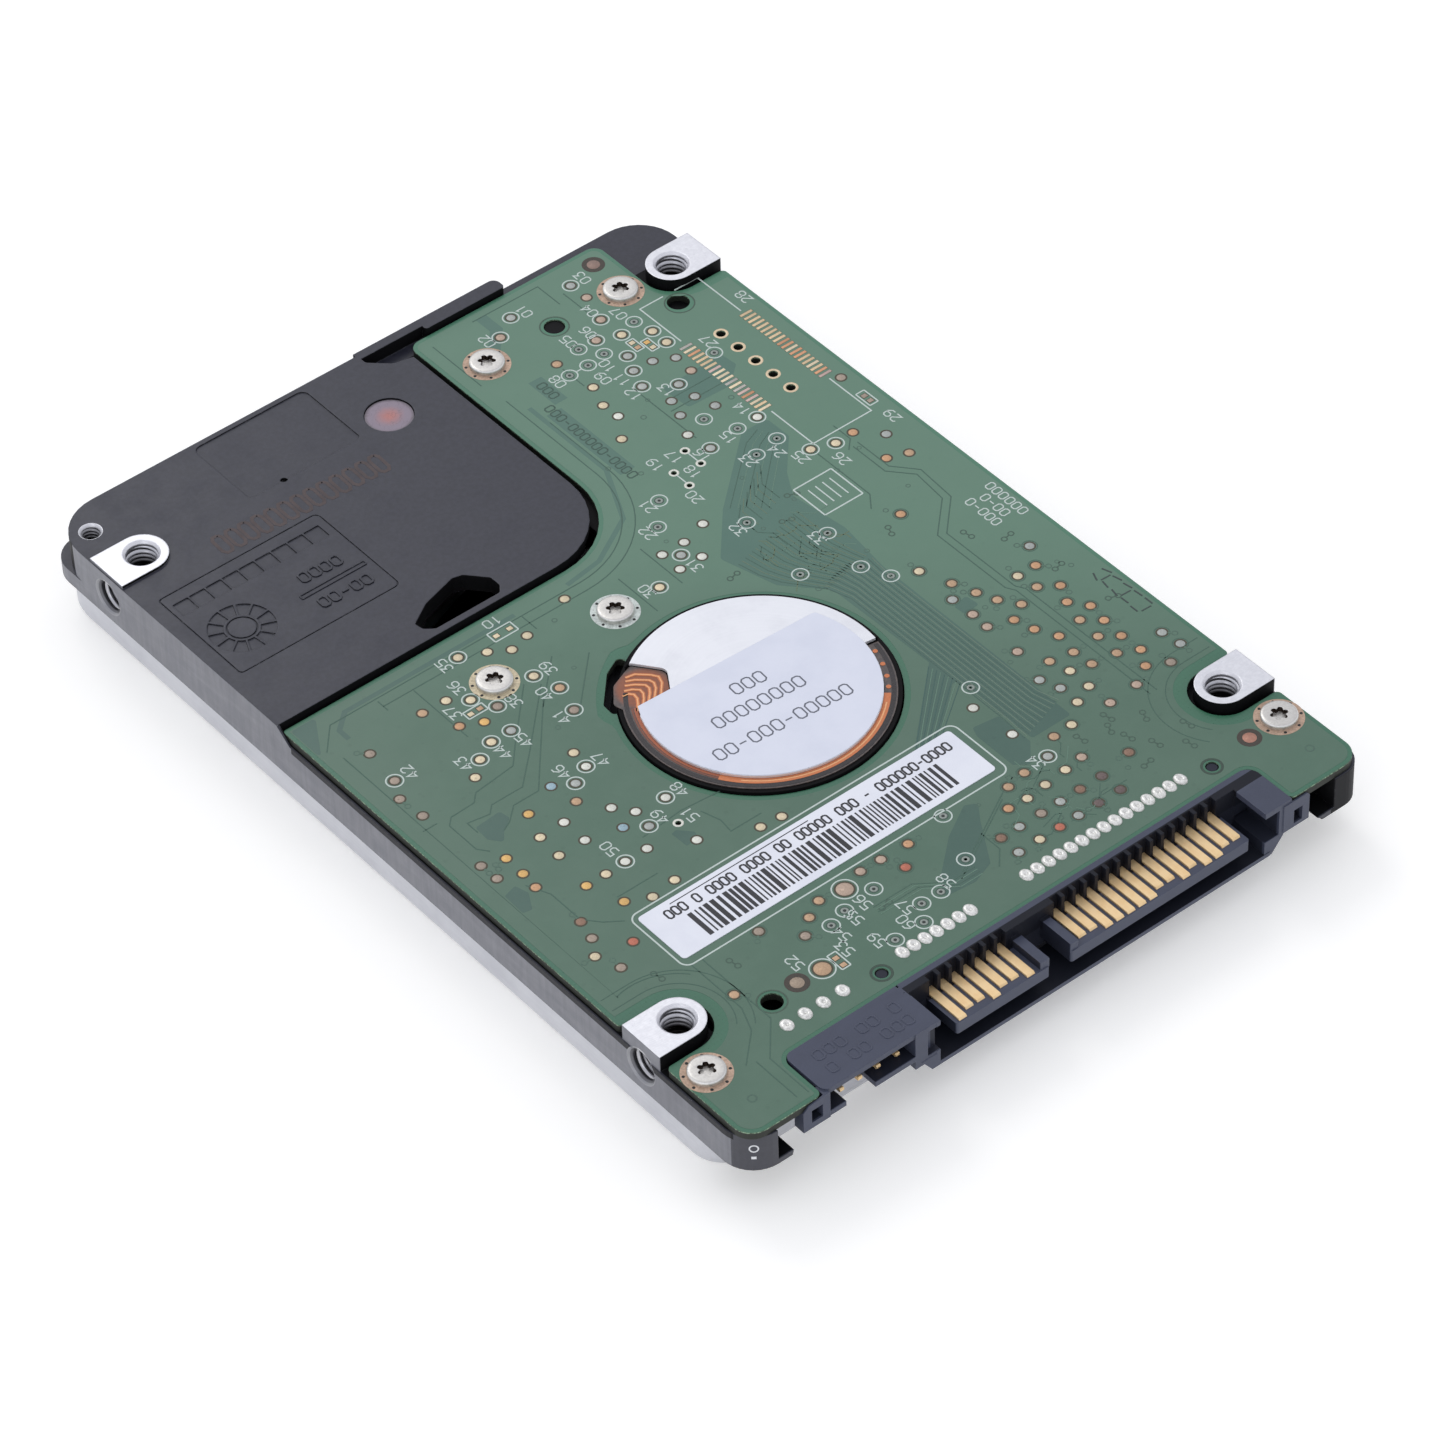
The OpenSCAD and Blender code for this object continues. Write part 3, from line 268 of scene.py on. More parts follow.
# ---------------------------------------------------------------- mesh building
class Build:
    """Collects closed solids in mm and makes one object of them."""

    def __init__(self):
        self.v, self.f, self.c = [], [], []

    def add(self, verts, faces, col=None):
        k = len(self.v)
        self.v += verts
        self.f += [tuple(i + k for i in f) for f in faces]
        self.c += [col or (1, 1, 1)] * len(faces)

    def loft(self, rings, col=None, cap0=True, cap1=True, cols=None):
        """Rings of equal length, bottom to top, counter clockwise from above."""
        n = len(rings[0])
        verts = [p for r in rings for p in r]
        faces, fc = [], []
        for j in range(len(rings) - 1):
            for i in range(n):
                a, b = j * n + i, j * n + (i + 1) % n
                faces.append((a, b, b + n, a + n))
        if cap0:
            faces.append(tuple(range(n - 1, -1, -1)))
        if cap1:
            t = (len(rings) - 1) * n
            faces.append(tuple(range(t, t + n)))
        self.add(verts, faces, col)

    def prism(self, pts, z0, z1, col=None, chamfer=0.0):
        self.loft([[(x, y, z0) for x, y in pts], [(x, y, z1) for x, y in pts]], col)

    def box(self, x0, x1, y0, y1, z0, z1, col=None):
        self.prism([(x0, y0), (x1, y0), (x1, y1), (x0, y1)], z0, z1, col)

    def lathe(self, c, prof, n=24, col=None, a0=0.0):
        """Solid of revolution about a vertical axis; prof is [(r, z)] bottom to top."""
        cs = [(math.cos(a0 + 2 * math.pi * i / n), math.sin(a0 + 2 * math.pi * i / n)) for i in range(n)]
        self.loft([[(c[0] + r * u, c[1] + r * w, z) for u, w in cs] for r, z in prof], col)

    def disc(self, c, r, z0, z1, n=20, col=None, edge=0.0):
        e = edge
        self.lathe(c, [(r, z0), (r, z1 - e), (r - e, z1)] if e else [(r, z0), (r, z1)], n, col)

    def annulus(self, c, ri, ro, z0, z1, n=28, col=None, edge=0.0):
        cs = [(math.cos(2 * math.pi * i / n), math.sin(2 * math.pi * i / n)) for i in range(n)]
        e = edge
        prof = [(ri, z0), (ro, z0), (ro, z1 - e), (ro - e, z1), (ri + e, z1), (ri, z1 - e)] if e else [(ri, z0), (ro, z0), (ro, z1), (ri, z1)]
        m = len(prof)
        verts = [(c[0] + r * u, c[1] + r * w, z) for r, z in prof for u, w in cs]
        faces = []
        for j in range(m):
            k = (j + 1) % m
            for i in range(n):
                a, b = i, (i + 1) % n
                faces.append((j * n + a, j * n + b, k * n + b, k * n + a))
        self.add(verts, faces, col)

    def arc_band(self, c, ri, ro, a0, a1, z0, z1, col=None, step=4.0):
        n = max(2, int(abs(a1 - a0) / step))
        out = [(c[0] + ro * math.cos(math.radians(a0 + (a1 - a0) * i / n)), c[1] + ro * math.sin(math.radians(a0 + (a1 - a0) * i / n))) for i in range(n + 1)]
        inn = [(c[0] + ri * math.cos(math.radians(a0 + (a1 - a0) * i / n)), c[1] + ri * math.sin(math.radians(a0 + (a1 - a0) * i / n))) for i in range(n + 1)]
        self.strip(out, inn, z0, z1, col)

    def strip(self, right, left, z0, z1, col=None):
        """Closed band between two polylines."""
        n = len(right)
        verts = [(x, y, z) for z in (z0, z1) for line in (right, left) for x, y in line]
        R0, L0, R1, L1 = 0, n, 2 * n, 3 * n
        faces = []
        for i in range(n - 1):
            faces += [(R1 + i, R1 + i + 1, L1 + i + 1, L1 + i), (R0 + i, L0 + i, L0 + i + 1, R0 + i + 1),
                      (R0 + i, R0 + i + 1, R1 + i + 1, R1 + i), (L0 + i + 1, L0 + i, L1 + i, L1 + i + 1)]
        faces += [(R0, R1, L1, L0), (R0 + n - 1, L0 + n - 1, L1 + n - 1, R1 + n - 1)]
        self.add(verts, faces, col)

    def ribbon(self, pts, w, z0, z1, col=None, closed=False):
        """A line of width w with mitred corners."""
        pts = [p for i, p in enumerate(pts) if i == 0 or math.dist(p, pts[i - 1]) > 1e-6]
        n = len(pts)
        left, right = [], []
        for i in range(n):
            if closed:
                p, q, r = pts[(i - 1) % n], pts[i], pts[(i + 1) % n]
            else:
                p, q, r = pts[max(i - 1, 0)], pts[i], pts[min(i + 1, n - 1)]
            d0 = (q[0] - p[0], q[1] - p[1])
            d1 = (r[0] - q[0], r[1] - q[1])
            l0, l1 = math.hypot(*d0), math.hypot(*d1)
            if l0 < 1e-9: d0, l0 = d1, l1
            if l1 < 1e-9: d1, l1 = d0, l0
            n0 = (-d0[1] / l0, d0[0] / l0)
            n1 = (-d1[1] / l1, d1[0] / l1)
            mx, my = n0[0] + n1[0], n0[1] + n1[1]
            ml = math.hypot(mx, my) or 1.0
            mx, my = mx / ml, my / ml
            k = min(w / 2 / max(0.35, mx * n0[0] + my * n0[1]), w * 1.4)
            left.append((q[0] + mx * k, q[1] + my * k))
            right.append((q[0] - mx * k, q[1] - my * k))
        if closed:
            left.append(left[0])
            right.append(right[0])
        self.strip(right, left, z0, z1, col)

    def make(self, name, mat, body="body", slot=None, sharp=35.0, smooth=True, tint=False):
        me = bpy.data.meshes.new(name)
        me.from_pydata([(x * MM, y * MM, z * MM) for x, y, z in self.v], [], self.f)
        if tint:
            a = me.color_attributes.new("tint", "FLOAT_COLOR", "CORNER")
            cols = []
            for p, c in zip(me.polygons, self.c):
                cols += [*c, 1.0] * p.loop_total
            a.data.foreach_set("color", cols)
        if smooth:
            me.shade_smooth()
            me.set_sharp_from_angle(angle=math.radians(sharp))
        me.materials.append(mat)
        me.validate()
        ob = bpy.data.objects.new(name, me)
        bpy.context.scene.collection.objects.link(ob)
        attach(ob, body)
        return ob


def unit(x, y):
    l = math.hypot(x, y)
    return x / l, y / l


def rounded(pts, step=10.0):
    """Polygon with a corner radius at each (x, y, r) point."""
    out = []
    n = len(pts)
    for i in range(n):
        p0, (x, y, r), p2 = pts[i - 1], pts[i], pts[(i + 1) % n]
        if r <= 0:
            out.append((x, y))
            continue
        ax, ay = unit(p0[0] - x, p0[1] - y)
        bx, by = unit(p2[0] - x, p2[1] - y)
        h = math.acos(max(-1, min(1, ax * bx + ay * by))) / 2
        ux, uy = unit(ax + bx, ay + by)
        mx, my = x + ux * r / math.sin(h), y + uy * r / math.sin(h)
        t0 = (x + ax * r / math.tan(h), y + ay * r / math.tan(h))
        t1 = (x + bx * r / math.tan(h), y + by * r / math.tan(h))
        a0 = math.degrees(math.atan2(t0[1] - my, t0[0] - mx))
        da = (math.degrees(math.atan2(t1[1] - my, t1[0] - mx)) - a0 + 180) % 360 - 180
        k = max(2, math.ceil(abs(da) / step))
        out += [(mx + r * math.cos(math.radians(a0 + da * j / k)), my + r * math.sin(math.radians(a0 + da * j / k))) for j in range(k + 1)]
    return out


def inset(pts, d):
    """Moves each edge of a counter clockwise (x, y, r) polygon inward by d."""
    n = len(pts)
    out = []
    for i in range(n):
        a, b, c = pts[i - 1], pts[i], pts[(i + 1) % n]
        ux, uy = unit(b[0] - a[0], b[1] - a[1])
        vx, vy = unit(c[0] - b[0], c[1] - b[1])
        cr = ux * vy - uy * vx
        if abs(cr) < 1e-6:
            out.append((b[0] - uy * d, b[1] + ux * d, 0))
            continue
        # intersection of the two shifted edges
        p = (a[0] - uy * d, a[1] + ux * d)
        q = (b[0] - vy * d, b[1] + vx * d)
        t = ((q[0] - p[0]) * vy - (q[1] - p[1]) * vx) / cr
        r = b[2] - d if cr > 0 else b[2] + d
        out.append((p[0] + ux * t, p[1] + uy * t, max(r, 0.05) if b[2] > 0 or cr < 0 else 0))
    return out


def rect(x0, x1, y0, y1, r):
    return [(x0, y0, r), (x1, y0, r), (x1, y1, r), (x0, y1, r)]


def circle(c, r, n=48):
    return [(c[0] + r * math.cos(2 * math.pi * i / n), c[1] + r * math.sin(2 * math.pi * i / n)) for i in range(n)]


def sheet(name, outline, holes, z0, z1, mat, body="body"):
    """Flat sheet with holes, made from a filled curve."""
    cu = bpy.data.curves.new(name, "CURVE")
    cu.dimensions = "2D"
    cu.fill_mode = "BOTH"
    cu.extrude = (z1 - z0) / 2 * MM
    for loop in [outline] + holes:
        s = cu.splines.new("POLY")
        s.points.add(len(loop) - 1)
        for p, (x, y) in zip(s.points, loop):
            p.co = (x * MM, y * MM, 0, 1)
        s.use_cyclic_u = True
    tmp = bpy.data.objects.new(name + "_tmp", cu)
    bpy.context.scene.collection.objects.link(tmp)
    bpy.context.view_layer.update()
    me = bpy.data.meshes.new_from_object(tmp.evaluated_get(bpy.context.evaluated_depsgraph_get()))
    bpy.data.objects.remove(tmp)
    bpy.data.curves.remove(cu)
    import bmesh
    bm = bmesh.new()
    bm.from_mesh(me)
    bmesh.ops.remove_doubles(bm, verts=bm.verts, dist=1e-7)
    bmesh.ops.translate(bm, verts=bm.verts, vec=(0, 0, (z0 + z1) / 2 * MM))
    bmesh.ops.recalc_face_normals(bm, faces=bm.faces)
    bm.to_mesh(me)
    bm.free()
    me.name = name
    me.materials.clear()
    me.materials.append(mat)
    ob = bpy.data.objects.new(name, me)
    bpy.context.scene.collection.objects.link(ob)
    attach(ob, body)
    return ob


# rounded stroke numerals on a 4 by 6 grid
DIGIT = {
    "0": [[(1, 0), (3, 0), (4, 1), (4, 5), (3, 6), (1, 6), (0, 5), (0, 1), (1, 0)]],
    "1": [[(1, 5), (2.2, 6), (2.2, 0)]],
    "2": [[(0, 5), (1, 6), (3, 6), (4, 5), (4, 4), (0, 0), (4, 0)]],
    "3": [[(0, 6), (4, 6), (2, 3.6), (3, 3.6), (4, 2.6), (4, 1), (3, 0), (1, 0), (0, 1)]],
    "4": [[(3, 0), (3, 6), (0, 2), (4, 2)]],
    "5": [[(4, 6), (0, 6), (0, 3.6), (3, 3.6), (4, 2.6), (4, 1), (3, 0), (0, 0)]],
    "6": [[(4, 6), (2, 6), (0, 4), (0, 1), (1, 0), (3, 0), (4, 1), (4, 2.4), (3, 3.4), (0.2, 3.4)]],
    "7": [[(0, 6), (4, 6), (1.5, 0)]],
    "8": [[(1, 3.2), (0, 4), (0, 5), (1, 6), (3, 6), (4, 5), (4, 4), (3, 3.2), (1, 3.2), (0, 2.2), (0, 1), (1, 0), (3, 0), (4, 1), (4, 2.2), (3, 3.2)]],
    "9": [[(0, 0), (2, 0), (4, 2), (4, 5), (3, 6), (1, 6), (0, 5), (0, 3.7), (1, 2.7), (4, 2.7)]],
    "-": [[(0.4, 3), (3.6, 3)]],
    " ": [],
}


def numerals(b, text, at, h, w, z0, z1, rot=90.0, col=None, anchor=0.5, stretch=1.0):
    """Draws numerals of height h centred on a point."""
    s = h / 6.0
    adv = 5.6 * s * stretch
    total = adv * len(text) - 1.6 * s * stretch
    c, q = math.cos(math.radians(rot)), math.sin(math.radians(rot))
    for k, ch in enumerate(text):
        for line in DIGIT[ch]:
            pts = []
            for x, y in line:
                u = k * adv + x * s * stretch - total * anchor
                v = y * s - h / 2
                pts.append((at[0] + u * c - v * q, at[1] + u * q + v * c))
            b.ribbon(pts, w, z0, z1, col, closed=False)


# ---------------------------------------------------------------- materials
def casting_material():
    m = Mat("black_coated_casting")
    x, y, z = m.xyz()
    nz = m.normal_z()
    bev = m.bevel(0.16, 6)
    edge = m.edge(bev, 0.03, 0.35)
    grain = m.noise(2.2, 3, 0.6)
    fine = m.noise(14.0, 2, 0.5)
    speck = m.cells(5.0)
    # machined places: boss faces, threaded holes and the countersinks of the side holes
    hole = None
    for bx, by in BOSSES:
        r, _ = m.polar((bx, by))
        k = (r < 1.86) * (z > 5.6)
        sx = 1 if bx > 0 else -1
        dy, dz = y - by, z - (Z_TOP - 3.0)
        side = ((dy * dy + dz * dz).sqrt() < 1.9) * ((x * sx) > 31.5)
        k = m.math("MAXIMUM", k, side)
        hole = k if hole is None else m.math("MAXIMUM", hole, k)
    r2, _ = m.polar((-32.5, 46.2))
    hole = m.math("MAXIMUM", hole, (r2 < 1.12) * (z > 7.0))
    top = (z > Z_TOP - 0.03) * (nz > 0.7)
    big = lambda a, b: m.math("MAXIMUM", a, b)
    # painted shade: inside the outline, recess walls and pocket floors are painted near black where shade falls
    qx, qy = big(x.abs() - 31.4, 0.0), big(y.abs() - 46.6, 0.0)
    inner = (qx * qx + qy * qy).sqrt() < 3.35
    face = 1.0 - m.smooth(nz.abs(), 0.3, 0.55)
    pit = inner * big(z > 5.85, (y < -46.0) * (z > 4.3)) * big(face, m.smooth((z * -1.0) + Z_CAST, 0.15, 0.35))
    # the rear corner plateau is kept out of the painted shade
    pit = pit * (1.0 - big(y > 47.6, (x > 26.0) * (y > 43.0)) * m.smooth(nz, 0.5, 0.8))
    # painted shade: a near black strip along the casting's lowest edge, at the gap to the lid
    slot = (z > 3.55) * (z < 3.83)
    # painted shade: the right prong's upright faces are painted near black
    right_prong = (x > 31.0) * (y < -44.0) * face * (x < 34.8) * 0.9
    pit = big(pit, right_prong)
    # painted shade: the top band of the side walls, under the board edge
    rim = (x.abs() > 34.7) * (z > 7.15) * (z < 7.82) * (y < 12.7) * face
    pit = big(big(pit, slot), rim * 0.85)
    # painted shade: the bare metal is painted darker with depth inside the holes, inside the side holes and on their
    # countersinks
    hole_depth_shade = (x.abs() < 34.75) * m.smooth((z * -1.0) + Z_TOP, 0.25, 1.0)
    side_hole_shade = (x.abs() > 31.5) * (z < 8.3) * m.smooth((x.abs() * -1.0) + 34.9, -0.05, 0.9)
    side_hole_rim_shade = (x.abs() > 34.3) * (z < 8.3)
    # mask of the outer side walls for the painted reflection
    outer_wall_reflection = (x.abs() > 34.78) * face
    # seats under the board screws and the board locating pin stay bare too
    metal = m.math("MAXIMUM", hole, top)
    # coat rubbed thin on the sharp corners
    worn = m.smooth(edge * 0.55 + m.noise(1.3, 4, 0.7) * 0.6 + m.noise(9.0, 2, 0.6) * 0.22, 0.93, 1.12)
    worn = worn * (1.0 - metal)
    coat_col = m.mix(m.smooth(grain, 0.3, 0.72), srgb(35, 36, 47), srgb(43, 44, 56))
    # painted highlight: the coat is lightened along the rounded edges
    coat_col = m.mix(edge * 0.5, coat_col, srgb(58, 59, 66))
    # painted reflection: the outer side walls are painted light grey with streaks, for the bright floor they mirror
    flow = m.smooth(m.noise(1.0, 4, 0.6, at=m.scaled(0.9, 0.12, 0.9), dist=0.6), 0.42, 0.7)
    wall = 1.0 - m.smooth(nz.abs(), 0.2, 0.6)
    streak = m.noise(1.6, 3, 0.6, at=m.scaled(1.0, 1.0, 0.12))
    coat_col = m.mix(outer_wall_reflection * 0.85 + flow * outer_wall_reflection * 0.15, coat_col, m.mix(streak, srgb(98, 99, 106), srgb(132, 133, 140)))
    # painted sheen: other upright faces of the coat are lightened a little
    coat_col = m.mix(wall * (1.0 - outer_wall_reflection) * 0.3, coat_col, srgb(72, 73, 80))
    # painted shade: the pit mask turns the coat near black
    coat_col = m.mix(pit, coat_col, m.mix(grain, srgb(12, 12, 13), srgb(20, 20, 22)))
    # turned and milled aluminium
    mill = m.wave(x * 0.92 + y * 0.38 + m.noise(0.5, 2) * 0.6, 0.16)
    alu = m.mix(mill * 0.3 + m.smooth(m.noise(1.8, 4, 0.7), 0.35, 0.75) * 0.5, srgb(218, 218, 222), srgb(240, 240, 243))
    alu = m.mix(m.smooth(m.noise(3.5, 3, 0.6), 0.62, 0.8) * 0.35, alu, srgb(160, 161, 166))
    # painted shade in the holes and on the side countersinks
    alu = m.mix(hole_depth_shade, alu, srgb(62, 60, 58))
    alu = m.mix(side_hole_rim_shade * 0.8, alu, srgb(128, 129, 134))
    alu = m.mix(side_hole_shade * 0.8, alu, srgb(70, 69, 70))
    col = m.mix(metal, m.mix(worn, coat_col, srgb(150, 150, 154)), alu)
    h_coat = fine * 0.5 + m.smooth(speck, 0.0, 0.25) * 0.2 + grain * 0.8
    n_coat = m.bump(h_coat, 0.012, 0.5, bev)
    n_alu = m.bump(mill * 0.6 + fine * 0.6, 0.004, 0.8, bev)
    mixn = m.new("Mix", data_type="VECTOR")
    m.put(mixn.inputs[0], metal)
    m.put(mixn.inputs[4], n_coat)
    m.put(mixn.inputs[5], n_alu)
    rough_c = 0.33 + m.smooth(m.noise(0.35, 4, 0.65), 0.35, 0.7) * 0.1 + fine * 0.06
    rough_c = m.lerp(pit, rough_c, 0.55)
    return m.set(color=col, metal=m.lerp(metal, worn * 0.7 * (1.0 - pit), 0.92), rough=m.lerp(metal, rough_c, 0.34 + fine * 0.14),
                 normal=X(m, mixn.outputs[1]), spec=m.lerp(pit, 0.55, 0.12))


def steel_material(name, base, rough=0.3, dirx=1.0, diry=0.03, metal=1.0, bev_r=0.08, swirl=None, tint=0.06, stain=0.25, bump=0.004):
    """Brushed or ground metal: fine lines along one way, faint stains, rounded edges."""
    m = Mat(name)
    bev = m.bevel(bev_r, 4)
    if swirl:
        r, _ = m.polar(swirl)
        line = m.noise(9.0, 3, 0.6, at=m.vec(r, 0.0, 0.0))
    else:
        line = m.noise(7.0, 3, 0.65, at=m.scaled(dirx, diry, 1.0))
    blot = m.smooth(m.noise(0.5, 4, 0.65), 0.35, 0.75)
    fine = m.noise(20.0, 2, 0.5)
    dark = [c * (1 - tint * 3) for c in base]
    col = m.mix(line * 0.6 + blot * stain, base, dark)
    scr = m.smooth(m.noise(2.2, 2, 0.5, at=m.scaled(3.0, 0.12, 1.0), dist=1.5), 0.73, 0.78)
    return m.set(color=col, metal=metal, rough=rough + line * 0.12 + blot * 0.07 - scr * 0.05 + fine * 0.03,
                 normal=m.bump(line * 0.8 + fine * 0.3 - scr * 0.5, bump, 0.8, bev))


def plastic_material(name, base, base2=None, rough=0.42, grain=6.0, bev_r=0.06, bump=0.006, spec=0.45, edge_col=None, dust=0.15):
    m = Mat(name)
    bev = m.bevel(bev_r, 4)
    edge = m.edge(bev, 0.03, 0.4)
    g = m.noise(grain, 3, 0.6)
    f = m.noise(grain * 6, 2, 0.5)
    blot = m.smooth(m.noise(0.8, 4, 0.6), 0.35, 0.72)
    col = m.mix(g * 0.6 + blot * 0.4, base, base2 or [c * 1.25 + 0.002 for c in base])
    # painted highlight along the rounded edges
    col = m.mix(edge * 0.5, col, edge_col or [min(1, c * 1.8 + 0.01) for c in base])
    col = m.mix(m.smooth(m.cells(3.1), 0.07, 0.02) * dust, col, [min(1, c * 2 + 0.05) for c in base])
    return m.set(color=col, rough=rough + g * 0.1 + blot * 0.06, spec=spec, normal=m.bump(g * 0.5 + f * 0.5, bump, 0.6, bev))


def board_material():
    """Solder mask over glass laminate; the sawn edge faces are painted dark as shade, with a pale top band that is
    partly laminate fibre and partly painted highlight.
    """
    m = Mat("green_board_laminate")
    x, y, z = m.xyz()
    nz = m.normal_z()
    bev = m.bevel(0.05, 4)
    weave = m.wave(x, 0.42) * 0.5 + m.wave(y, 0.46) * 0.5
    f = m.noise(6.0, 3, 0.6)
    big = m.smooth(m.noise(0.09, 3, 0.5), 0.3, 0.7)
    mask = m.mix(weave * 0.3 + f * 0.25, srgb(50, 100, 76), srgb(62, 115, 90))
    mask = m.mix(big * 0.4, mask, srgb(64, 116, 86))
    # painted sheen: the mask is lightened towards the back right
    mask = m.mix(m.smooth(x * 0.6 + y * 0.8, -12.0, 16.0) * 0.5, mask, srgb(84, 134, 108))
    # painted shade on the edge faces, with a pale speckled top band that is partly laminate fibre and partly painted
    # highlight
    ply = m.wave(z, 0.13)
    lam = m.mix(m.smooth(z, Z_BOARD - 0.16, Z_BOARD - 0.1), m.mix(ply * 0.5 + m.noise(9.0, 2, 0.7) * 0.5, srgb(22, 26, 21), srgb(38, 42, 32)),
                m.mix(m.smooth(m.noise(4.0, 3, 0.7), 0.45, 0.62), srgb(66, 84, 66), srgb(136, 164, 134)))
    side = 1.0 - m.smooth(nz.abs(), 0.3, 0.7)
    col = m.mix(side, mask, lam)
    return m.set(color=col, rough=m.lerp(side, 0.24 + f * 0.1, 0.65), spec=0.5, coat=m.lerp(side, 0.25, 0.0), coat_rough=0.12,
                 normal=m.bump(weave * 0.4 + f * 0.5 + ply * side, 0.006, 0.6, bev))


def pour_material(name, c0, c1, warm=0.35, rough=0.27):
    """Solder mask over copper: slightly warmer, with a faint orange peel."""
    m = Mat(name)
    x, y, z = m.xyz()
    f = m.noise(5.0, 3, 0.55)
    peel = m.noise(1.6, 2, 0.5)
    big = m.smooth(m.noise(0.06, 3, 0.5), 0.3, 0.7)
    mid = m.smooth(m.noise(0.4, 4, 0.62), 0.35, 0.7)
    dot = m.smooth(m.cells(0.62, rand=0.9), 0.16, 0.09)
    col = m.mix(f * 0.3 + mid * 0.35, c0, c1)
    col = m.mix(big * warm, col, srgb(90, 114, 97))
    col = m.mix(dot * 0.16, col, [c * 0.62 for c in c0])
    # painted sheen: lightened towards the back right
    col = m.mix(m.smooth(x * 0.6 + y * 0.8, -12.0, 16.0) * 0.55, col, [min(1.0, c * 1.55 + 0.004) for c in c1])
    return m.set(color=col, rough=rough + f * 0.08 + mid * 0.05, spec=0.5, coat=0.2, coat_rough=0.15,
                 normal=m.bump(peel * 0.6 + f * 0.25 - dot * 0.3, 0.01, 0.55))


def tint_material(name, metal=0.0, rough=0.4, var=0.25, bump=0.006, grain=7.0, coat=0.0, spec=0.5, bev_r=0.03):
    """Takes its colour from the faces' own tint, with grain, tarnish and bump on top."""
    m = Mat(name)
    base = m.attr("tint")
    bev = m.bevel(bev_r, 4)
    g = m.noise(grain, 3, 0.6)
    f = m.noise(grain * 4, 2, 0.5)
    n = m.mix(m.smooth(g, 0.3, 0.75) * var, base, (0.0, 0.0, 0.0))
    col = m.mix(m.smooth(f, 0.45, 0.8) * var * 0.8, n, m.mix(0.5, base, (1, 1, 1)))
    return m.set(color=col, metal=metal, rough=rough + g * 0.14 + f * 0.05, coat=coat, coat_rough=0.2, spec=spec,
                 normal=m.bump(g * 0.6 + f * 0.4, bump, 0.7, bev))


def paper_material(name, base, shade, rough=0.42, gloss=0.0, crease=True, fibre=1.0):
    m = Mat(name)
    x, y, z = m.xyz()
    fib = m.noise(8.0, 4, 0.7, at=m.scaled(1.0, 0.35, 1.0))
    f = m.noise(26.0, 2, 0.5)
    blot = m.smooth(m.noise(0.22, 4, 0.6), 0.35, 0.72)
    cr = m.smooth((m.noise(0.35, 2, 0.4, dist=1.2) - 0.5).abs(), 0.012, 0.0) if crease else 0.0
    col = m.mix(blot * 0.5 + fib * 0.25 * fibre, base, shade)
    h = fib * 0.4 * fibre + f * 0.3 + m.noise(0.5, 2, 0.4) * 1.5 - cr * 0.4
    return m.set(color=col, rough=rough + fib * 0.08, coat=gloss, coat_rough=0.25, normal=m.bump(h, 0.012, 0.5, m.bevel(0.04, 4)))


def screw_material():
    m = Mat("nickel_screw")
    bev = m.bevel(0.1, 4)
    edge = m.edge(bev, 0.03, 0.4)
    g = m.noise(5.0, 3, 0.6)
    f = m.noise(22.0, 2, 0.5)
    scr = m.smooth(m.noise(3.0, 2, 0.5, at=m.scaled(2.6, 0.3, 1.0), dist=2.0), 0.68, 0.76)
    col = m.mix(m.smooth(g, 0.35, 0.75) * 0.6, srgb(222, 222, 220), srgb(186, 185, 182))
    # painted highlight along the rounded edges
    col = m.mix(edge * 0.3, col, srgb(246, 246, 244))
    nz = m.normal_z()
    _, _, z = m.xyz()
    return m.set(color=col, metal=0.9, rough=0.3 + g * 0.16 - scr * 0.08 + f * 0.05, normal=m.bump(g * 0.5 + f * 0.4 - scr, 0.005, 0.8, bev))


def cover_material():
    m = Mat("pressed_cover_sheet")
    x, y, z = m.xyz()
    bev = m.bevel(0.22, 6)
    brush = m.noise(8.0, 3, 0.7, at=m.scaled(1.0, 0.02, 1.0))
    brush2 = m.noise(2.0, 4, 0.6, at=m.scaled(1.0, 0.05, 1.0))
    blot = m.smooth(m.noise(0.18, 4, 0.6), 0.32, 0.72)
    f = m.noise(24.0, 2, 0.5)
    col = m.mix(brush * 0.4 + blot * 0.35, srgb(214, 215, 220), srgb(188, 189, 196))
    scr = m.smooth(m.noise(0.9, 3, 0.5, at=m.scaled(0.25, 4.0, 1.0), dist=2.5), 0.74, 0.78)
    return m.set(color=col, metal=0.85, rough=0.36 + brush * 0.16 + blot * 0.06 - scr * 0.1,
                 normal=m.bump(brush * 0.7 + brush2 * 0.5 + f * 0.2 - scr * 0.4, 0.006, 0.7, bev))


def gold_material():
    m = Mat("gold_plated_contact")
    bev = m.bevel(0.05, 4)
    x, y, z = m.xyz()
    ln = m.noise(10.0, 3, 0.6, at=m.scaled(1.0, 0.06, 1.0))
    blot = m.smooth(m.noise(1.1, 3, 0.6), 0.35, 0.7)
    f = m.noise(22.0, 2, 0.5)
    col = m.mix(ln * 0.4 + blot * 0.4, srgb(252, 222, 172), srgb(238, 198, 138))
    # plating wears where the mating springs wipe
    wipe = m.smooth(m.noise(2.4, 3, 0.6, at=m.scaled(3.0, 0.3, 1.0)), 0.6, 0.74)
    col = m.mix(wipe * 0.4, col, srgb(246, 228, 196))
    return m.set(color=col, metal=0.45, rough=0.34 + ln * 0.14 + blot * 0.05, normal=m.bump(ln * 0.7 + f * 0.3, 0.004, 0.7, bev))


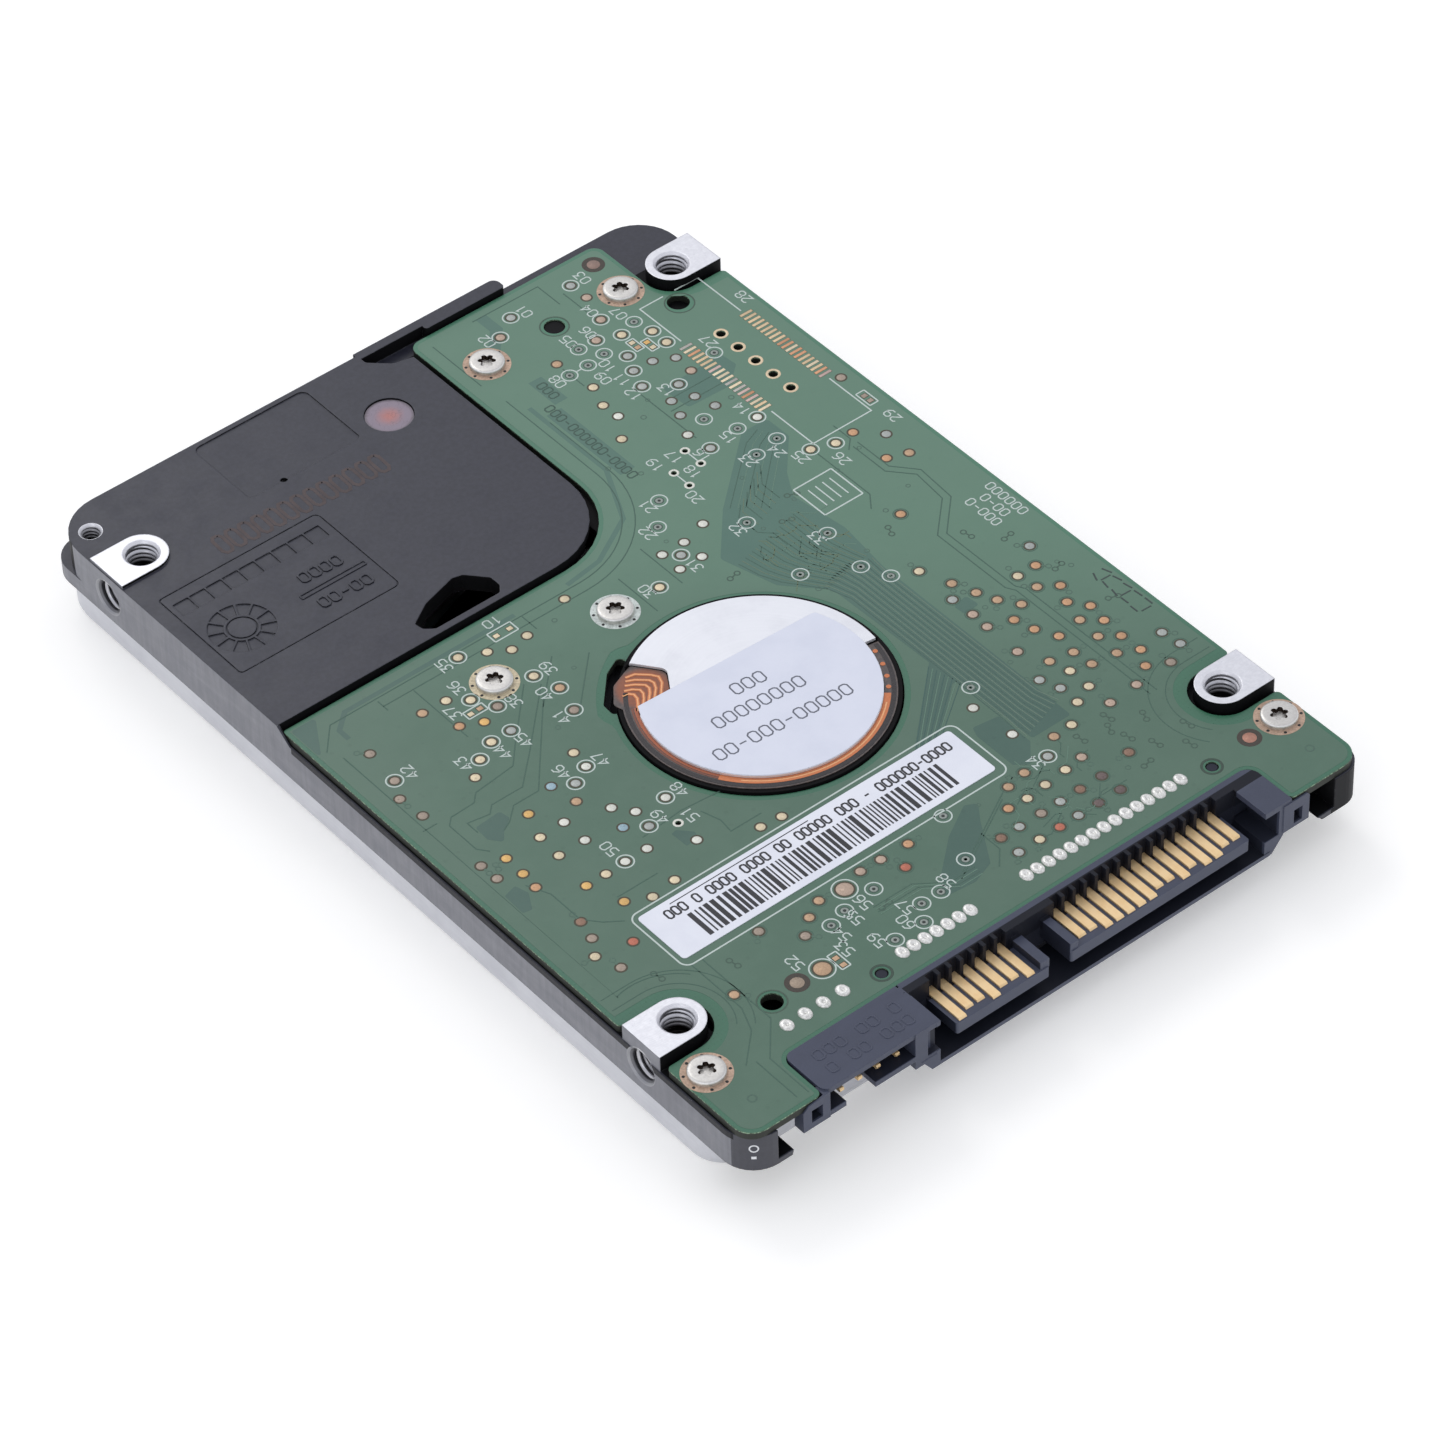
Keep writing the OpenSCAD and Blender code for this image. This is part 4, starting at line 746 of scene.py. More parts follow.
def solder_material():
    m = Mat("bright_solder")
    g = m.noise(5.0, 3, 0.6)
    f = m.noise(18.0, 2, 0.6)
    pit = m.smooth(m.cells(4.0, rand=1.0), 0.12, 0.04)
    col = m.mix(m.smooth(g, 0.35, 0.7), srgb(240, 239, 234), srgb(204, 203, 197))
    col = m.mix(pit * 0.5, col, srgb(120, 114, 100))
    return m.set(color=col, metal=0.65, rough=0.3 + g * 0.2, normal=m.bump(g * 0.8 + f * 0.3 - pit * 0.5, 0.014, 0.8))


def flex_material():
    m = Mat("polyimide_flex")
    g = m.noise(3.0, 3, 0.6)
    f = m.noise(14.0, 2, 0.5)
    col = m.mix(m.smooth(g, 0.3, 0.7), srgb(120, 68, 40), srgb(160, 92, 52))
    return m.set(color=col, rough=0.22 + g * 0.1, coat=0.5, coat_rough=0.1, normal=m.bump(g * 0.7 + f * 0.3, 0.006, 0.6, m.bevel(0.03, 4)))


def thread_material():
    """Cut thread, with painted shade: darker towards the bottom of the hole and in the small hole."""
    m = Mat("cut_thread")
    x, y, z = m.xyz()
    g = m.noise(5.0, 3, 0.6)
    f = m.noise(16.0, 2, 0.5)
    top = (z > 7.2) * (x.abs() < 34.2)
    depth = m.lerp(top, m.smooth((x.abs() * -1.0) + 34.9, 0.2, 2.2), m.smooth((z * -1.0) + Z_TOP, 0.5, 2.3))
    small = (x < -31.2) * (y > 45.0)
    col = m.mix(g * 0.5, srgb(214, 214, 218), srgb(176, 177, 182))
    # painted shade: darker with depth into the hole, and in the small hole
    col = m.mix(depth * 0.85, col, srgb(46, 44, 44))
    col = m.mix(small * 0.6, col, srgb(60, 59, 60))
    return m.set(color=col, metal=0.85, rough=0.26 + g * 0.12, normal=m.bump(g * 0.5 + f * 0.4, 0.004, 0.7, m.bevel(0.03, 3)))


def seal_material():
    """Foil seal: a reddish centre fading to grey, with fine creases."""
    m = Mat("foil_seal")
    r, a = m.polar((-2.3, 41.1))
    g = m.noise(2.0, 3, 0.6)
    f = m.noise(12.0, 2, 0.5)
    cr = m.smooth((m.noise(0.9, 2, 0.4, dist=1.4) - 0.5).abs(), 0.02, 0.0)
    col = m.mix(m.smooth(r + g * 0.5, 0.3, 1.9), srgb(176, 118, 112), srgb(138, 126, 138))
    col = m.mix(m.smooth(r, 1.95, 2.2), col, srgb(120, 112, 120))
    return m.set(color=m.mix(cr * 0.3, col, srgb(92, 82, 86)), rough=0.34 + g * 0.12, metal=0.15, normal=m.bump(g * 0.6 + f * 0.3 - cr * 0.6, 0.02, 0.6, m.bevel(0.06, 4)))


def housing_material():
    """Glass filled nylon of the plug, with painted shade in the shroud, between the comb teeth, on the inner walls, on
    the tray and towards the back.
    """
    m = Mat("connector_nylon")
    x, y, z = m.xyz()
    nz = m.normal_z()
    bev = m.bevel(0.09, 4)
    edge = m.edge(bev, 0.03, 0.4)
    g = m.noise(4.0, 3, 0.6)
    f = m.noise(24.0, 2, 0.5)
    flow = m.smooth(m.noise(0.5, 4, 0.6, at=m.scaled(0.4, 1.0, 1.0), dist=0.5), 0.35, 0.72)
    col = m.mix(g * 0.6 + flow * 0.4, srgb(56, 61, 78), srgb(70, 75, 93))
    # painted highlight along the rounded edges
    col = m.mix(edge * 0.6, col, srgb(122, 127, 146))
    face = 1.0 - m.smooth(nz.abs(), 0.3, 0.6)
    # masks for painted shade: comb slots, shroud floor, inner walls, the rear part and the tray
    comb = (y > -46.25) * (y < -45.12) * (z > 6.68) * (x > -13.95)
    floor = (z < 4.3) * (nz > 0.3)
    inside = face * (z < 8.1) * (y > -49.7) * (x > -14.4)
    peg = (y > -43.6) * 0.7
    housing_shade = m.math("MAXIMUM", m.math("MAXIMUM", comb * 0.88, floor * 0.85), m.math("MAXIMUM", inside * 0.7, peg))
    tray = (z < 6.3) * (nz > 0.3) * (y > -49.9) * 0.7
    housing_shade = m.math("MAXIMUM", housing_shade, tray)
    # painted shade: these places are painted near black
    col = m.mix(housing_shade, col, srgb(18, 19, 24))
    col = m.mix(m.smooth(m.cells(3.1), 0.07, 0.02) * 0.15, col, srgb(120, 122, 134))
    return m.set(color=col, rough=0.4 + g * 0.1 + flow * 0.06, spec=m.lerp(housing_shade, 0.45, 0.15), normal=m.bump(g * 0.5 + f * 0.5, 0.01, 0.6, bev))


def film_material():
    """Dark cover film of the motor flex between its tracks."""
    m = Mat("flex_cover_film")
    g = m.noise(3.0, 3, 0.6)
    f = m.noise(14.0, 2, 0.5)
    col = m.mix(m.smooth(g, 0.3, 0.7), srgb(66, 58, 56), srgb(92, 80, 74))
    r, _ = m.polar((-7.5, -2.7))
    col = m.mix(1.0 - m.smooth(r, 2.1, 2.9), col, m.mix(g, srgb(124, 66, 38), srgb(152, 84, 48)))
    return m.set(color=col, rough=0.26 + g * 0.1, coat=0.4, coat_rough=0.14, normal=m.bump(g * 0.7 + f * 0.3, 0.006, 0.6, m.bevel(0.03, 4)))


def motor_material():
    """Turned face of the motor bracket."""
    m = Mat("turned_motor_face")
    r, a = m.polar(SP)
    bev = m.bevel(0.1, 5)
    ring = m.wave(r + m.noise(0.6, 2) * 0.06, 0.11)
    ring2 = m.noise(3.0, 3, 0.6, at=m.vec(r, 0.0, 0.0))
    sheen = m.noise(1.2, 2, 0.5, at=m.vec(a * 2.2, 0.0, 0.0))
    blot = m.smooth(m.noise(0.3, 4, 0.6), 0.4, 0.75)
    f = m.noise(20.0, 2, 0.5)
    col = m.mix(ring2 * 0.35 + blot * 0.35, srgb(236, 237, 240), srgb(214, 215, 220))
    _, _, z = m.xyz()
    # painted shade: below the turned face and outside r 12.08 the colour goes near black, for the gap round the motor
    low = m.math("MAXIMUM", 1.0 - m.smooth(z, 8.96, 9.02), r > 12.08)
    col = m.mix(low, col, srgb(13, 13, 14))
    return m.set(color=col, metal=m.lerp(low, 0.6, 0.0), rough=m.lerp(low, 0.36 + ring2 * 0.12 + sheen * 0.08, 0.6), spec=m.lerp(low, 0.5, 0.1),
                 normal=m.bump(ring * 0.5 + ring2 * 0.5 + f * 0.2, 0.003, 0.7, bev))


def mirror_material():
    m = Mat("coated_disk")
    r, a = m.polar(SP)
    band = m.noise(1.4, 3, 0.6, at=m.vec(r, 0.0, 0.0))
    lub = m.noise(0.25, 4, 0.6)
    col = m.mix(band * 0.5 + lub * 0.3, srgb(214, 214, 212), srgb(190, 186, 180))
    return m.set(color=col, metal=1.0, rough=0.03 + m.smooth(lub, 0.4, 0.8) * 0.03,
                 normal=m.bump(m.wave(r, 0.5) * 0.3 + band, 0.0006, 0.5, m.bevel(0.05, 3)))


def wire_material(name, turns, c0, c1):
    """Enamelled wire; turns gives the direction the lines count along."""
    m = Mat(name)
    x, y, z = m.xyz()
    v = m.wave(z if turns == "z" else (x * x + (y - PV[1]) * (y - PV[1])).sqrt(), 0.14)
    g = m.noise(4.0, 3, 0.6)
    col = m.mix(v * 0.6 + g * 0.4, c0, c1)
    return m.set(color=col, metal=0.55, rough=0.28 + g * 0.12, coat=0.4, coat_rough=0.1, normal=m.bump(v * 0.9 + g * 0.2, 0.03, 0.9, m.bevel(0.1, 3)))


def felt_material():
    m = Mat("fibre_felt")
    a = m.noise(9.0, 5, 0.75, at=m.scaled(1.0, 0.2, 1.0), dist=0.6)
    b = m.noise(9.0, 5, 0.75, at=m.scaled(0.25, 1.0, 1.0), dist=0.6)
    g = m.noise(2.0, 3, 0.6)
    col = m.mix(a * 0.5 + g * 0.3, srgb(238, 236, 228), srgb(206, 202, 190))
    return m.set(color=col, rough=0.85, sheen=0.4, normal=m.bump(a * 0.6 + b * 0.6 + g * 0.3, 0.08, 0.8))


def rubber_material():
    m = Mat("black_elastomer")
    g = m.noise(5.0, 4, 0.65)
    f = m.noise(30.0, 2, 0.5)
    col = m.mix(g, srgb(24, 24, 25), srgb(46, 46, 47))
    return m.set(color=col, rough=0.62 + g * 0.14, spec=0.35, normal=m.bump(g * 0.7 + f * 0.5, 0.015, 0.8, m.bevel(0.1, 3)))


M = {
    "cast": casting_material(),
    "cover": cover_material(),
    "rubber": rubber_material(),
    "screw": screw_material(),
    "label": paper_material("coated_label_stock", srgb(236, 238, 244), srgb(222, 224, 234), rough=0.34, gloss=0.35),
    "cover_label": paper_material("cover_label_stock", srgb(238, 238, 236), srgb(224, 224, 222), rough=0.4, gloss=0.25),
    "motor_label": paper_material("motor_label_film", srgb(224, 227, 238), srgb(212, 216, 229), rough=0.3, gloss=0.3, fibre=0.4),
    "board": board_material(),
    "pour": pour_material("mask_over_copper", srgb(72, 105, 85), srgb(80, 113, 93)),
    "dark": pour_material("mask_over_traces", srgb(58, 92, 80), srgb(66, 100, 86), warm=0.12),
    "foam": plastic_material("insulating_film", srgb(38, 39, 42), rough=0.7, grain=3.0, bump=0.03),
    "chip": plastic_material("moulded_epoxy", srgb(36, 36, 39), rough=0.5, grain=9.0, bump=0.01),
    "block": plastic_material("connector_block_resin", srgb(30, 30, 33), rough=0.45, grain=7.0),
    "ceramic": plastic_material("ceramic_capacitor", srgb(150, 122, 92), rough=0.4, grain=5.0, bump=0.008),
    "housing": housing_material(),
    "film": film_material(),
    "gold": gold_material(),
    "solder": solder_material(),
    "flex": flex_material(),
    "motor": motor_material(),
    "lam": steel_material("stacked_lamination", srgb(120, 122, 128), rough=0.4, dirx=0.05, diry=0.05, bump=0.01),
    "magnet": steel_material("nickel_plated_magnet", srgb(176, 178, 182), rough=0.24, bump=0.003, bev_r=0.15),
    "yoke": steel_material("plated_yoke_steel", srgb(150, 152, 156), rough=0.3, dirx=0.4, diry=0.4, bev_r=0.1),
    "ground": steel_material("ground_steel", srgb(196, 197, 200), rough=0.14, dirx=0.03, diry=1.0, bump=0.002),
    "sprung": steel_material("spring_steel_sheet", srgb(190, 190, 190), rough=0.2, dirx=1.0, diry=0.05, bump=0.002, bev_r=0.02),
    "arm": steel_material("machined_arm_aluminium", srgb(204, 206, 210), rough=0.32, dirx=0.4, diry=1.0, bump=0.004),
    "hub": steel_material("turned_hub_aluminium", srgb(214, 216, 220), rough=0.26, swirl=SP, bump=0.003),
    "clamp": steel_material("turned_clamp", srgb(196, 198, 202), rough=0.28, swirl=SP, bump=0.004),
    "bronze": steel_material("sintered_bronze", srgb(168, 132, 76), rough=0.4, dirx=0.3, diry=0.3, bump=0.008),
    "disk": mirror_material(),
    "stator_wire": wire_material("stator_winding", "z", srgb(150, 84, 44), srgb(196, 122, 70)),
    "coil_wire": wire_material("voice_coil_winding", "r", srgb(146, 78, 40), srgb(190, 112, 62)),
    "overmold": plastic_material("glass_filled_overmould", srgb(44, 44, 46), rough=0.5, grain=8.0, bump=0.012),
    "slider": plastic_material("slider_ceramic", srgb(92, 88, 92), rough=0.22, grain=9.0, bump=0.002),
    "latch": plastic_material("natural_acetal", srgb(226, 222, 210), rough=0.36, grain=3.0),
    "ramp": plastic_material("ramp_polymer", srgb(232, 226, 204), rough=0.34, grain=3.0),
    "felt": felt_material(),
    "seal": seal_material(),
    "head": tint_material("plated_screw_head", metal=0.85, rough=0.3, var=0.14, bump=0.006, grain=5.0, bev_r=0.07),
    "silk": tint_material("white_legend_ink", rough=0.55, var=0.12, bump=0.004, grain=9.0),
    "pad": tint_material("plated_test_pad", metal=0.35, rough=0.42, var=0.2, bump=0.01, grain=6.0),
    "ink": tint_material("printed_ink", rough=0.5, var=0.15, bump=0.002, grain=12.0),
    "copper": tint_material("masked_copper_ring", metal=0.35, rough=0.36, var=0.3, bump=0.008, grain=5.0),
    "trace": tint_material("flex_copper_trace", metal=0.5, rough=0.25, var=0.15, bump=0.004, grain=6.0, coat=0.5),
    "thread": thread_material(),
    "etch": plastic_material("etched_mark", srgb(88, 76, 74), srgb(70, 62, 62), rough=0.6, grain=12.0, bump=0.01),
    "wall": plastic_material("hole_shadow", srgb(22, 24, 24), rough=0.7, grain=8.0),
}

DRESS = {
    "base_casting": "cast", "top_cover": "cover", "cover_gasket": "rubber", "cover_screws": "screw", "pivot_cover_screw": "screw",
    "cover_label": "cover_label", "base_seal": "seal", "circuit_board": "board", "board_screws": "screw", "board_insulator": "foam",
    "controller_chip": "chip", "cache_memory_chip": "chip", "motor_driver_chip": "chip", "board_small_chips": "chip",
    "board_capacitors": "ceramic", "sata_housing": "housing", "sata_contacts": "gold", "jumper_pins": "gold", "solder_joints": "solder",
    "head_connector_block": "block", "motor_flex": "film", "motor_bracket": "motor", "motor_label": "motor_label", "barcode_label": "label",
    "stator_core": "lam", "stator_coils": "stator_wire", "bearing_sleeve": "bronze", "bearing_end_cap": "ground", "spindle_shaft": "ground",
    "spindle_hub": "hub", "rotor_magnet": "magnet", "lower_platter": "disk", "platter_spacer": "clamp", "upper_platter": "disk",
    "disk_clamp": "clamp", "clamp_screws": "screw", "actuator_arm_block": "arm", "voice_coil": "coil_wire", "coil_overmold": "overmold",
    "head_suspensions": "sprung", "head_sliders": "slider", "pivot_bearing_sleeve": "ground", "preamp_chip": "chip", "pivot_balls": "ground",
    "pivot_shaft": "ground", "upper_yoke": "yoke", "lower_yoke": "yoke", "upper_magnet": "magnet", "lower_magnet": "magnet",
    "yoke_posts": "ground", "crash_stops": "rubber", "inertial_latch": "latch", "latch_pin": "ground", "load_ramp": "ramp",
    "ramp_screw": "screw", "flex_cable": "flex", "flex_bracket": "yoke", "recirculation_filter": "felt", "breather_filter": "felt",
}
for name, ob in NODES.items():
    mat = M[DRESS[name]]
    ob.data.materials.clear()
    ob.data.materials.append(mat)


# ---------------------------------------------------------------- board artwork
ZB = Z_BOARD
C = {
    "grey": srgb(176, 180, 174), "pink": srgb(196, 172, 152), "cream": srgb(226, 210, 176), "tan": srgb(200, 166, 132),
    "white": srgb(226, 226, 214), "orange": srgb(206, 160, 120), "mauve": srgb(168, 152, 136), "gold": srgb(228, 184, 112),
    "brown": srgb(150, 118, 98), "blue": srgb(160, 186, 196), "dark": srgb(112, 96, 92), "red": srgb(196, 116, 92),
    "silk": srgb(200, 212, 204), "rim": srgb(70, 66, 46), "lip": srgb(96, 100, 78),
}
OUTLINE = [(-34.62, -49.9, 2), (-26.7, -49.9, 0.6), (-26.7, -44.5, 1.2), (26.3, -44.5, 1.2), (26.3, -49.9, 0.6), (34.65, -49.9, 2),
           (34.65, -39.95, 0.3), (27.1, -39.95, 3.7), (27.1, -32.2, 3.7), (34.65, -32.2, 0.3), (34.65, 36.7, 0.3), (27.8, 36.7, 3.7),
           (27.8, 48.2, 1.2), (5.3, 48.2, 1.2), (5.3, 14.2, 8.3), (-34.62, 14.2, 0.3), (-34.62, -32.2, 0.3), (-27.1, -32.2, 3.7),
           (-27.1, -39.95, 3.7), (-34.62, -39.95, 0.3)]
JUMPERS = [-23.9, -21.9, -19.9, -17.8]
eye = []
for i in range(120):
    a = 3.0 * i
    t = min(max((a - 110) / 6, 0), 1) * min(max((157 - a) / 6, 0), 1)
    r = 13.3 + 1.15 * t
    eye.append((SP[0] + r * math.cos(math.radians(a)), SP[1] + r * math.sin(math.radians(a))))
holes = [eye, circle((17.4, 41.4), 1.32, 28), circle((28.4, 36.3), 1.36, 28), circle((-23.1, -39.1), 1.25, 28),
         circle((-14, -42.6), 0.8, 20), circle((23.8, -42.5), 0.8, 20)]
holes += [circle(p, 1.2, 24) for p in BOARD_SCREWS]
holes += [circle((28.5, 30.3 - 2.55 * i), 0.5, 20) for i in range(5)]
PLATED = [(15.5, 19.7), (15.5, 17.4), (12.8, 18.0), (12.8, 15.75), (-15.6, -17.45)]
holes += [circle(p, 0.3, 16) for p in PLATED]
holes += [circle((-11.11 + 1.27 * i, -41.9), 0.42, 14) for i in range(7)] + [circle((2.86 + 1.27 * i, -41.9), 0.42, 14) for i in range(15)]
holes += [circle((x, -42.0), 0.44, 14) for x in JUMPERS]
# the connector field is split off from the main pour
sheet("board_copper_pour", rounded(inset(OUTLINE, 0.42)), holes, ZB, ZB + 0.014, M["pour"])

# darker fields where fine tracks run
D1 = [(11.3, -25.2, 0.3), (14.0, -25.6, 0.2), (14.0, -29.8, 0.3), (12.1, -32.0, 0.4), (10.9, -31.0, 0.2), (10.9, -26.3, 0.2)]
D2 = [(4.4, -32.0, 0.3), (5.5, -32.6, 0.3), (4.2, -34.4, 0.4), (1.5, -38.8, 0.4), (-0.9, -39.65, 0.3), (-4.1, -39.3, 0.3), (-3.2, -37.6, 0.4), (0.95, -34.0, 0.4)]
dark = Build()
Z1 = ZB + 0.018
for pts in (
    [(8.6, 6.2, 0.5), (10.2, 0.2, 1), (13.6, -3.6, 1), (13.9, -16.4, 0.4), (5.4, -24.2, 0.5), (7.6, -24.9, 0.3), (14.2, -19.4, 0.4), (14.4, -29.6, 0.3), (18.9, -29.6, 0.3),
     (19.0, -4.2, 0.5), (19.8, 2.0, 1), (19.0, 8.4, 0.6), (20.6, 11.2, 0.5), (24.0, 15.0, 0.5), (24.0, 18.2, 0.5), (21.0, 18.2, 0.5), (13.0, 11.2, 0.5)],
    [(-29.2, -6.4, 0.3), (-26.4, -6.2, 0.3), (-26.2, -7.4, 0.3), (-27.6, -8.4, 0.3), (-28.4, -9.4, 0.3), (-29.3, -8.2, 0.3)],
    [(-34.1, 9.2, 0.2), (-31.4, 13.7, 0.3), (-34.1, 13.7, 0.3)],
    [(-16.9, -18.1, 0.1), (-16.3, -18.0, 0.1), (-15.2, -19.2, 0.1), (-15.4, -20.0, 0.1), (-16.8, -20.1, 0.1)],
    [(-32.4, -14.6, 0.2), (-31.0, -14.2, 0.2), (-30.6, -15.6, 0.2), (-31.6, -17.4, 0.2), (-32.5, -17.2, 0.2)],
    D1,
    D2,
    [(20.3, -12.4, 0.3), (22.0, -12.0, 0.3), (22.2, -13.6, 0.3), (20.4, -13.8, 0.3)],
    [(19.6, 24.2, 0.4), (24.4, 24.0, 0.4), (26.8, 26.0, 0.4), (26.6, 28.0, 0.4), (19.4, 27.8, 0.4)],
):
    dark.prism(rounded(pts), ZB, Z1)
# wide inner tracks seen as tone bands
for pts, w in (
    ([(13.0, 47.0), (13.0, 44.6), (11.0, 42.4)], 1.2), ([(9.8, 21.0), (9.8, 31.9)], 1.7), ([(11.25, 32.6), (11.25, 36.6)], 1.5),
    ([(8.4, 33.8), (8.4, 22.4), (5.4, 16.2), (0.2, 13.2), (-4.0, 12.6)], 0.5),
    ([(-30.8, 9.6), (-30.8, 11.0), (-29.0, 12.6), (-10.0, 12.6)], 0.5),
):
    dark.ribbon(pts, w, ZB, Z1 - 0.002)
dark.make("board_track_fields", M["dark"], slot="board_green", smooth=False)

fine = Build()
Z2 = ZB + 0.024
LN = srgb(66, 100, 84)
LT = srgb(98, 132, 112)


def line(pts, w=0.11, col=None):
    fine.ribbon(pts, w, ZB, Z2, col or LN)


def arc(c, r, a0, a1, step=6.0):
    n = max(3, int(abs(a1 - a0) / step))
    return [(c[0] + r * math.cos(math.radians(a0 + (a1 - a0) * i / n)), c[1] + r * math.sin(math.radians(a0 + (a1 - a0) * i / n))) for i in range(n + 1)]


for off, x0, y1 in ((2.1, -31.0, 36.0), (3.3, -26.0, 31.0)):
    line([(x0, 14.2 - off)] + arc((-3.0, 22.5), 8.3 + off, 270, 360) + [(5.3 + off, y1)])
line([(-33.3, 9.5), (-31.0, 12.1)])
line([(-32.6, 8.0), (-32.6, -30.2)] + arc((-31.0, -36.1), 6.2, 105, 40))
for off in (1.35, 2.9):
    line([(-33.9, -36.1 + 3.6 + off)] + arc((-30.86, -36.1), 3.6 + off, 90, -38), 0.09)
    line([(33.9, -36.1 + 3.6 + off)] + arc((30.86, -36.1), 3.6 + off, 90, 218), 0.09)
for pts in (
    [(-14.9, 5.0), (-20.2, -0.5), (-22.0, -2.5), (-26.5, -3.0), (-27.4, -3.9), (-30.0, -4.0), (-30.75, -4.75), (-30.75, -8.5), (-30.0, -9.5)],
    [(-13.75, 4.0), (-19.75, -2.0), (-23.0, -5.1), (-26.4, -5.1), (-27.2, -5.9), (-29.4, -5.5), (-29.4, -7.0)],
    [(-14.25, 3.0), (-20.0, -3.75), (-22.25, -6.4), (-25.0, -6.4), (-26.5, -7.75), (-27.5, -8.25)],
    [(-22.75, 10.75), (-22.75, 3.0)], [(-26.0, 11.75), (-26.0, 10.25)],
    [(-30.25, -14.75), (-29.25, -17.0), (-29.25, -21.0), (-28.0, -22.5), (-26.5, -23.6)],
    [(-25.5, -31.3), (-25.5, -38.0), (-26.5, -40.5), (-29.4, -43.3)],
    [(-24.4, -31.5), (-24.4, -40.5), (-27.4, -44.0), (-27.4, -49.0)], [(-28.5, -43.5), (-28.5, -48.8)],
    [(-8.0, -17.0), (-14.5, -16.4), (-19.0, -16.8)], [(-13.2, -17.6), (-12.6, -19.6), (-12.8, -21.2), (-9.4, -21.2)],
    [(-25.2, -21.0), (-20.8, -21.0)],
    [(25.4, -13.5), (25.4, -4.25), (29.0, -0.75), (29.4, 3.25), (27.5, 5.5), (27.5, 10.0)],
    [(26.2, -13.9), (26.2, -4.6), (29.75, -1.1), (30.1, 3.5), (28.2, 5.8), (28.2, 10.2)],
    [(25.4, -13.5), (25.9, -14.4), (25.9, -32.2)], [(26.2, -13.9), (26.7, -14.8), (26.7, -32.2)],
    [(-1.0, -38.0), (8.0, -33.0)], [(-1.6, -38.6), (7.4, -33.6)], [(3.25, -35.5), (3.25, -38.0), (1.8, -39.6)],
    [(21.0, 44.6), (21.0, 39.9)], [(12.0, 47.0), (19.8, 47.0), (19.8, 43.6)], [(7.0, 39.2), (7.0, 46.6)],
    [(14.2, 36.1), (14.2, 32.9)], [(17.4, 20.4), (17.4, 28.6)], [(18.0, 24.8), (24.4, 24.8)], [(19.4, 26.2), (24.4, 26.2)],
    [(24.4, 12.0), (24.4, 4.0), (23.2, 2.4)], [(28.0, 13.4), (28.0, 11.0), (26.9, 9.9)],
    [(-32.9, -3.8), (-31.4, -3.8)], [(-8.0, 4.4), (-13.9, -1.5)], [(-10.8, 6.2), (-15.4, 1.6)],
    [(0.0, 10.2), (0.0, 4.6)], [(4.0, 12.0), (4.0, 6.0)], [(-9.6, 12.0), (-9.6, 9.9)],
):
    line(pts)
# diagonal sheaf at the lower left of the motor flex and parallel runs near the plug
for k in range(4):
    line([(-9.5, -36.25 - 0.34 * k), (-5.25 + 0.1 * k, -36.25 - 0.34 * k), (-2.6 + 0.14 * k, -38.25 - 0.34 * k), (0.2, -38.25 - 0.34 * k)], 0.09, LT if k % 2 else LN)
# the fine vertical bundle beside the motor and its diagonal run
for k in range(18):
    x = 14.1 + 0.27 * k
    top = -4.4 - 0.13 * abs(k - 9)
    line([(x - 0.9 + 0.07 * k, top + 2.8), (x, top), (x, -26.4 + 0.06 * k), (x + 0.05 * (k - 4), -29.2 + 0.1 * k)], 0.1, srgb(102, 126, 108) if k % 2 else srgb(66, 98, 86))
for k in range(9):
    line([(13.5 + 0.1 * k, -16.8 - 0.42 * k), (5.4 + 0.30 * k, -24.4 - 0.05 * k)], 0.08, LT if k % 2 else srgb(58, 96, 88))
for k in range(18):
    line([(9.4 + 0.5 * k, 4.6 + 0.12 * k), (9.9 + 0.47 * k, 2.2), (10.8 + 0.42 * k, 0.2 + 0.06 * k), (12.6 + 0.34 * k, -2.2 + 0.08 * k), (13.3 + 0.32 * k, -3.2 + 0.06 * k)], 0.09,
         srgb(100, 122, 98) if k % 2 else LN)
for k in range(7):
    line([(13.4 + 0.75 * k, 7.2 + 0.3 * k), (13.4 + 0.75 * k, 9.4 + 0.35 * k), (14.6 + 0.8 * k, 10.6 + 0.5 * k)], 0.09, srgb(100, 122, 98) if k % 2 else LN)
for k in range(6):
    line([(13.6 + 0.55 * k, 10.9 - 0.45 * k), (20.4 + 0.4 * k, 16.8 - 0.5 * k), (22.4 + 0.26 * k, 17.6 - 0.5 * k)], 0.08, LT if k % 2 else LN)
# short wandering tracks inside the dark fields
for k in range(26):
    x, y = rnd.uniform(10.6, 18.4), rnd.uniform(-1.6, 7.4)
    pts = [(x, y)]
    a = rnd.choice((0, 45, 90, 135, 225, 315))
    for j in range(rnd.randint(2, 4)):
        l = rnd.uniform(0.4, 1.3)
        pts.append((pts[-1][0] + l * math.cos(math.radians(a)), pts[-1][1] + l * math.sin(math.radians(a))))
        a += rnd.choice((-45, 0, 45))
    line(pts, 0.08, rnd.choice((LT, srgb(104, 120, 88), LN)))
for k in range(22):
    x, y = rnd.uniform(4.4, 15.6), rnd.uniform(-40.0, -33.0)
    if y > -36 + 0.5 * (x - 4):
        continue
    pts = [(x, y)]
    a = rnd.choice((30, 0, 90, 150, 210))
    for j in range(3):
        l = rnd.uniform(0.5, 1.4)
        pts.append((pts[-1][0] + l * math.cos(math.radians(a)), pts[-1][1] + l * math.sin(math.radians(a))))
        a += rnd.choice((-45, 0, 45))
    line(pts, 0.08, rnd.choice((LT, LN)))

